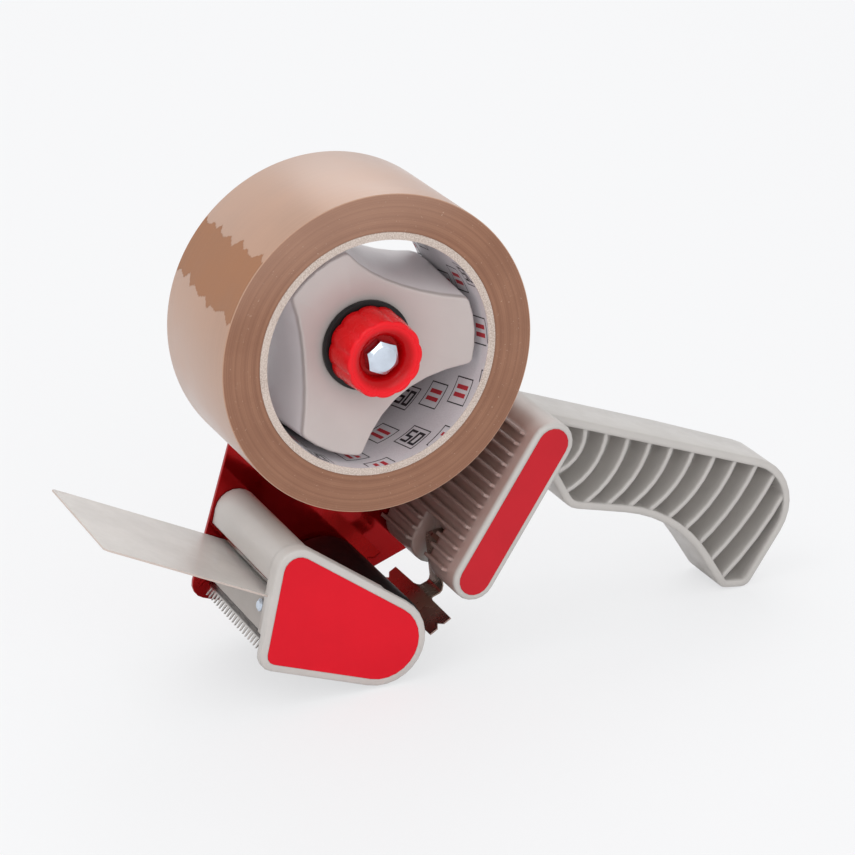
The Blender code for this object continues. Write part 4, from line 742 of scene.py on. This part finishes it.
def knob():
    """Scalloped knob with a rounded front edge and a trumpet dish."""
    rings = [circle(scalloped(radius), KNOB_BACK - ahead) for radius, ahead in KNOB_FOOT]
    for share in (0.25, 0.5, 0.75):
        rings.append(circle(scalloped(KNOB_WIDE - (KNOB_WIDE - KNOB_SLIM) * share),
                            KNOB_BACK - (KNOB_BACK - KNOB_FRONT) * share))
    for step in range(6):
        angle = math.pi / 2 * step / 5
        lobes = scalloped(KNOB_SLIM - KNOB_ROUND * (1 - math.cos(angle)), LOBE_DEPTH - 0.0002 * step / 5)
        rings.append(circle(lobes, KNOB_FRONT + KNOB_ROUND * (1 - math.sin(angle))))
    rings += [circle(scalloped(radius, depth), KNOB_FRONT + drop) for radius, depth, drop in KNOB_RIM]
    for step in range(1, 15):
        angle = math.pi / 2 * step / 14
        rings.append(circle(DISH_RIM - DISH_REACH * math.sin(angle),
                            KNOB_FRONT + DISH_DROP + DISH_DEPTH * (1 - math.cos(angle))))
    rings += [circle(SEAT_RADIUS, KNOB_SEAT), circle(BOLT_HOLE, KNOB_SEAT),
              circle(BOLT_HOLE, KNOB_SEAT + SEAT_FLOOR), circle(SPRING_ROOM, KNOB_SEAT + SEAT_FLOOR),
              circle(SPRING_ROOM, KNOB_BACK)]
    mesh = ringed("knob_moulding", rings, (knob_red,), closed=True)
    finished("knob_moulding", mesh, "brake", ("brake_knob",), angle=40)


# Bolt: its head's back and top along Y, the flat disc on it and the slope of the chamfer round it.
HEAD_BACK, HEAD_TOP, HEAD_DISC, HEAD_SLOPE = -0.0247, -0.0287, 0.0041, 0.55
HEAD_FLATS, HEAD_TURN = 0.0100, math.radians(97)
SHANK, THREAD_ROOT, POINT = 0.003, 0.00268, 0.0024
THREAD_START, THREAD_TURNS, THREAD_PITCH, BOLT_END = 0.0275, 8, 0.001, 0.035


def hexagon(angle):
    """Reach of the bolt's hexagonal head at an angle."""
    return HEAD_FLATS / 2 / math.cos((angle - HEAD_TURN) % (math.pi / 3) - math.pi / 6)


def bolt():
    """Hexagon bolt with a round chamfer and a threaded end."""
    rings = [circle(share * HEAD_DISC, HEAD_TOP) for share in (0.02, 0.5, 0.94)]
    rings.append(circle(HEAD_DISC, HEAD_TOP + 0.00004))
    for share in (0.25, 0.5, 0.75, 1):
        ring = circle(lambda angle: HEAD_DISC + (hexagon(angle) - HEAD_DISC) * share, HEAD_TOP + 0.00006)
        for point in ring:
            point.y += HEAD_SLOPE * (math.hypot(point.x - HUB.x, point.z - HUB.z) - HEAD_DISC)
        rings.append(ring)
    rings += [circle(hexagon, HEAD_BACK), circle(SHANK, HEAD_BACK)]
    for step in range(THREAD_TURNS):
        y = THREAD_START + step * THREAD_PITCH
        rings += [circle(SHANK, y), circle(THREAD_ROOT, y + 0.0004)]
    rings.append(circle(POINT, BOLT_END))
    mesh = ringed("bolt_turned", rings, (zinc,))
    finished("bolt_turned", mesh, "brake", ("brake_bolt",), angle=24)


knob()
bolt()

# Friction washer and the guide roller's rubber sleeve: their radii and their ends along Y.
WASHER_OUTSIDE, WASHER_NEAR, WASHER_FAR = 0.0150, -0.0158, -0.0137
SLEEVE_BORE, SLEEVE_OUTSIDE, SLEEVE_HALF = 0.0143, 0.01627, 0.0251
spun("washer_turned", "brake", "friction_washer", BOLT_HOLE, WASHER_OUTSIDE, WASHER_NEAR, WASHER_FAR,
     0.0004, (black_plastic,))
spun("sleeve_turned", "guide_roller", "roller_sleeve", SLEEVE_BORE, SLEEVE_OUTSIDE, -SLEEVE_HALF,
     SLEEVE_HALF, 0.0005, (black_rubber,), centre=NOSE, steps=144)

# Flap: its hinge, its slope, free length, thickness, round corners, and the cells of its mesh.
FLAP_HINGE, FLAP_SLOPE = Vector((-0.071896, 0, 0.038736)), math.radians(26.65)
FLAP_REACH, FLAP_THICK, FLAP_CORNER, FLAP_MARGIN = 0.0622, 0.0006, 0.0016, 0.0002
FLAP_COLUMNS, FLAP_ROWS = 24, 60
# How far past the hinge it has its full width, and where a bend would start and end about the hinge,
# which nothing uses.
FLAP_WIDENS, BEND_BEFORE, BEND_AFTER = 0.0006, 0.001, 0.009


def flap():
    """One frosted sheet: its root under the clamp, and the free part."""
    low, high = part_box("wiper_flap")
    root_low, root_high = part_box("flap_root")
    out = Vector((-math.cos(FLAP_SLOPE), 0, math.sin(FLAP_SLOPE)))
    up = Vector((out.z, 0, -out.x))
    inside = (root_high[0] - FLAP_HINGE.x) / -out.x
    points, faces = [], []
    for side in (-0.5, 0.5):
        for row in range(FLAP_ROWS + 1):
            place = -inside + FLAP_MARGIN + (FLAP_REACH + inside - 2 * FLAP_MARGIN) * row / FLAP_ROWS
            ease = min(1, max(0, place / FLAP_WIDENS))
            left = root_low[1] + (low[1] - root_low[1]) * ease
            right = root_high[1] + (high[1] - root_high[1]) * ease
            gone = max(0, place - (FLAP_REACH - FLAP_CORNER))
            trim = FLAP_CORNER - math.sqrt(max(0, FLAP_CORNER ** 2 - gone ** 2))
            for column in range(FLAP_COLUMNS + 1):
                y = left + trim + (right - left - 2 * trim) * column / FLAP_COLUMNS
                points.append(FLAP_HINGE + out * place + up * FLAP_THICK * side + Vector((0, y, 0)))
    width = FLAP_COLUMNS + 1
    size = (FLAP_ROWS + 1) * width
    for side in (0, 1):
        for row in range(FLAP_ROWS):
            for column in range(FLAP_COLUMNS):
                here = side * size + row * width + column
                quad = (here, here + 1, here + width + 1, here + width)
                faces.append(quad if side else quad[::-1])
    rim = list(range(width)) + [row * width + FLAP_COLUMNS for row in range(1, FLAP_ROWS + 1)]
    rim += [FLAP_ROWS * width + column for column in range(FLAP_COLUMNS - 1, -1, -1)]
    rim += [row * width for row in range(FLAP_ROWS - 1, 0, -1)]
    kinds = [0] * len(faces) + [1] * len(rim)
    for index, here in enumerate(rim):
        after = rim[(index + 1) % len(rim)]
        faces.append((here, after, after + size, here + size))
    mesh = mesh_of("flap_sheet", points, faces, (frosted, frosted_edge), kinds)
    piece = finished("flap_sheet", mesh, None, (), angle=40)
    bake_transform(piece)
    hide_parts("wiper_flap", "flap_root")


flap()

# Camera: its place, its three directions, and its lens and film width in millimetres.
CAMERA_PLACE = (-0.400814, -0.886520, 0.470486)
CAMERA_RIGHT = Vector((0.910959, -0.412355, -0.010812))
CAMERA_DOWN = Vector((-0.164621, -0.339392, -0.926128))
CAMERA_AHEAD = Vector((0.378224, 0.845445, -0.377055))
CAMERA_LENS, CAMERA_SENSOR = 133.186, 36
lens = bpy.data.cameras.new("camera")
lens.lens, lens.sensor_width = CAMERA_LENS, CAMERA_SENSOR
lens.clip_start, lens.clip_end = 0.01, 50
camera = placed("camera", lens)
axes = Matrix((CAMERA_RIGHT, -CAMERA_DOWN, -CAMERA_AHEAD)).transposed()
camera.matrix_world = Matrix.Translation(CAMERA_PLACE) @ axes.to_4x4()
bpy.context.scene.camera = camera

# Floor: what the camera sees is part its own shade, and part the light on it and the object's shadow.
FLOOR_HALF, FLOOR_SHARE, FLOOR_SEEN = 6, 0.7, (0.93, 0.935, 0.945, 1)
floor_mesh = bpy.data.meshes.new("floor")
floor_mesh.from_pydata([(x * FLOOR_HALF, y * FLOOR_HALF, 0) for x, y in SQUARE], [], [(0, 1, 2, 3)])
floor = placed("floor", floor_mesh)
floor_look = Look("floor", (0.8, 0.8, 0.81, 1), 0.6)
glow = floor_look.add("Emission", Color=FLOOR_SEEN)
seen = floor_look.make("LightPath").outputs["Is Camera Ray"]
share = floor_look.math("MULTIPLY", seen, FLOOR_SHARE)
lit = floor_look.shader.outputs[0]
floor_look.show(floor_look.add("MixShader", _0=share, _1=lit, _2=glow), "Material Output")
floor_mesh.materials.append(floor_look.material)


# The point that the lamps look at.
MIDDLE = Vector((0, 0, 0.07))


def lamp(name, place, size, power):
    """A round white lamp that looks at the middle of the object."""
    data = bpy.data.lights.new(name, "AREA")
    data.shape, data.size, data.energy, data.color = "DISK", size, power, (1, 1, 1)
    item = placed(name, data)
    item.location = place
    item.rotation_euler = (MIDDLE - Vector(place)).to_track_quat("-Z", "Y").to_euler()


lamp("key", (-0.9, -0.2, 1.6), 1.2, 7)
lamp("back", (0.6, 1.3, 1.3), 1.3, 5)
lamp("fill", (-0.2, -1.7, 0.8), 1.5, 8)

# World: its light has one level, and another where it is seen, mirrored or looked at through the flap.
WORLD_LIGHT, WORLD_SEEN = 0.86, (0.91, 0.915, 0.93, 1)
world = bpy.data.worlds.new("studio")
bpy.context.scene.world = world
world.use_nodes = True
sky = Nodes(world.node_tree)
dim = sky.tree.nodes["Background"]
sky.fill(dim, {"Color": (1, 1, 1, 1), "Strength": WORLD_LIGHT})
white = sky.add("Background", Color=WORLD_SEEN)
rays = sky.make("LightPath").outputs
seen = sky.math("MAXIMUM", rays["Is Camera Ray"], rays["Is Glossy Ray"])
seen = sky.math("MAXIMUM", seen, rays["Is Transmission Ray"])
sky.show(sky.add("MixShader", _0=seen, _1=dim.outputs[0], _2=white), "World Output")

bpy.context.scene.view_settings.view_transform = "Standard"
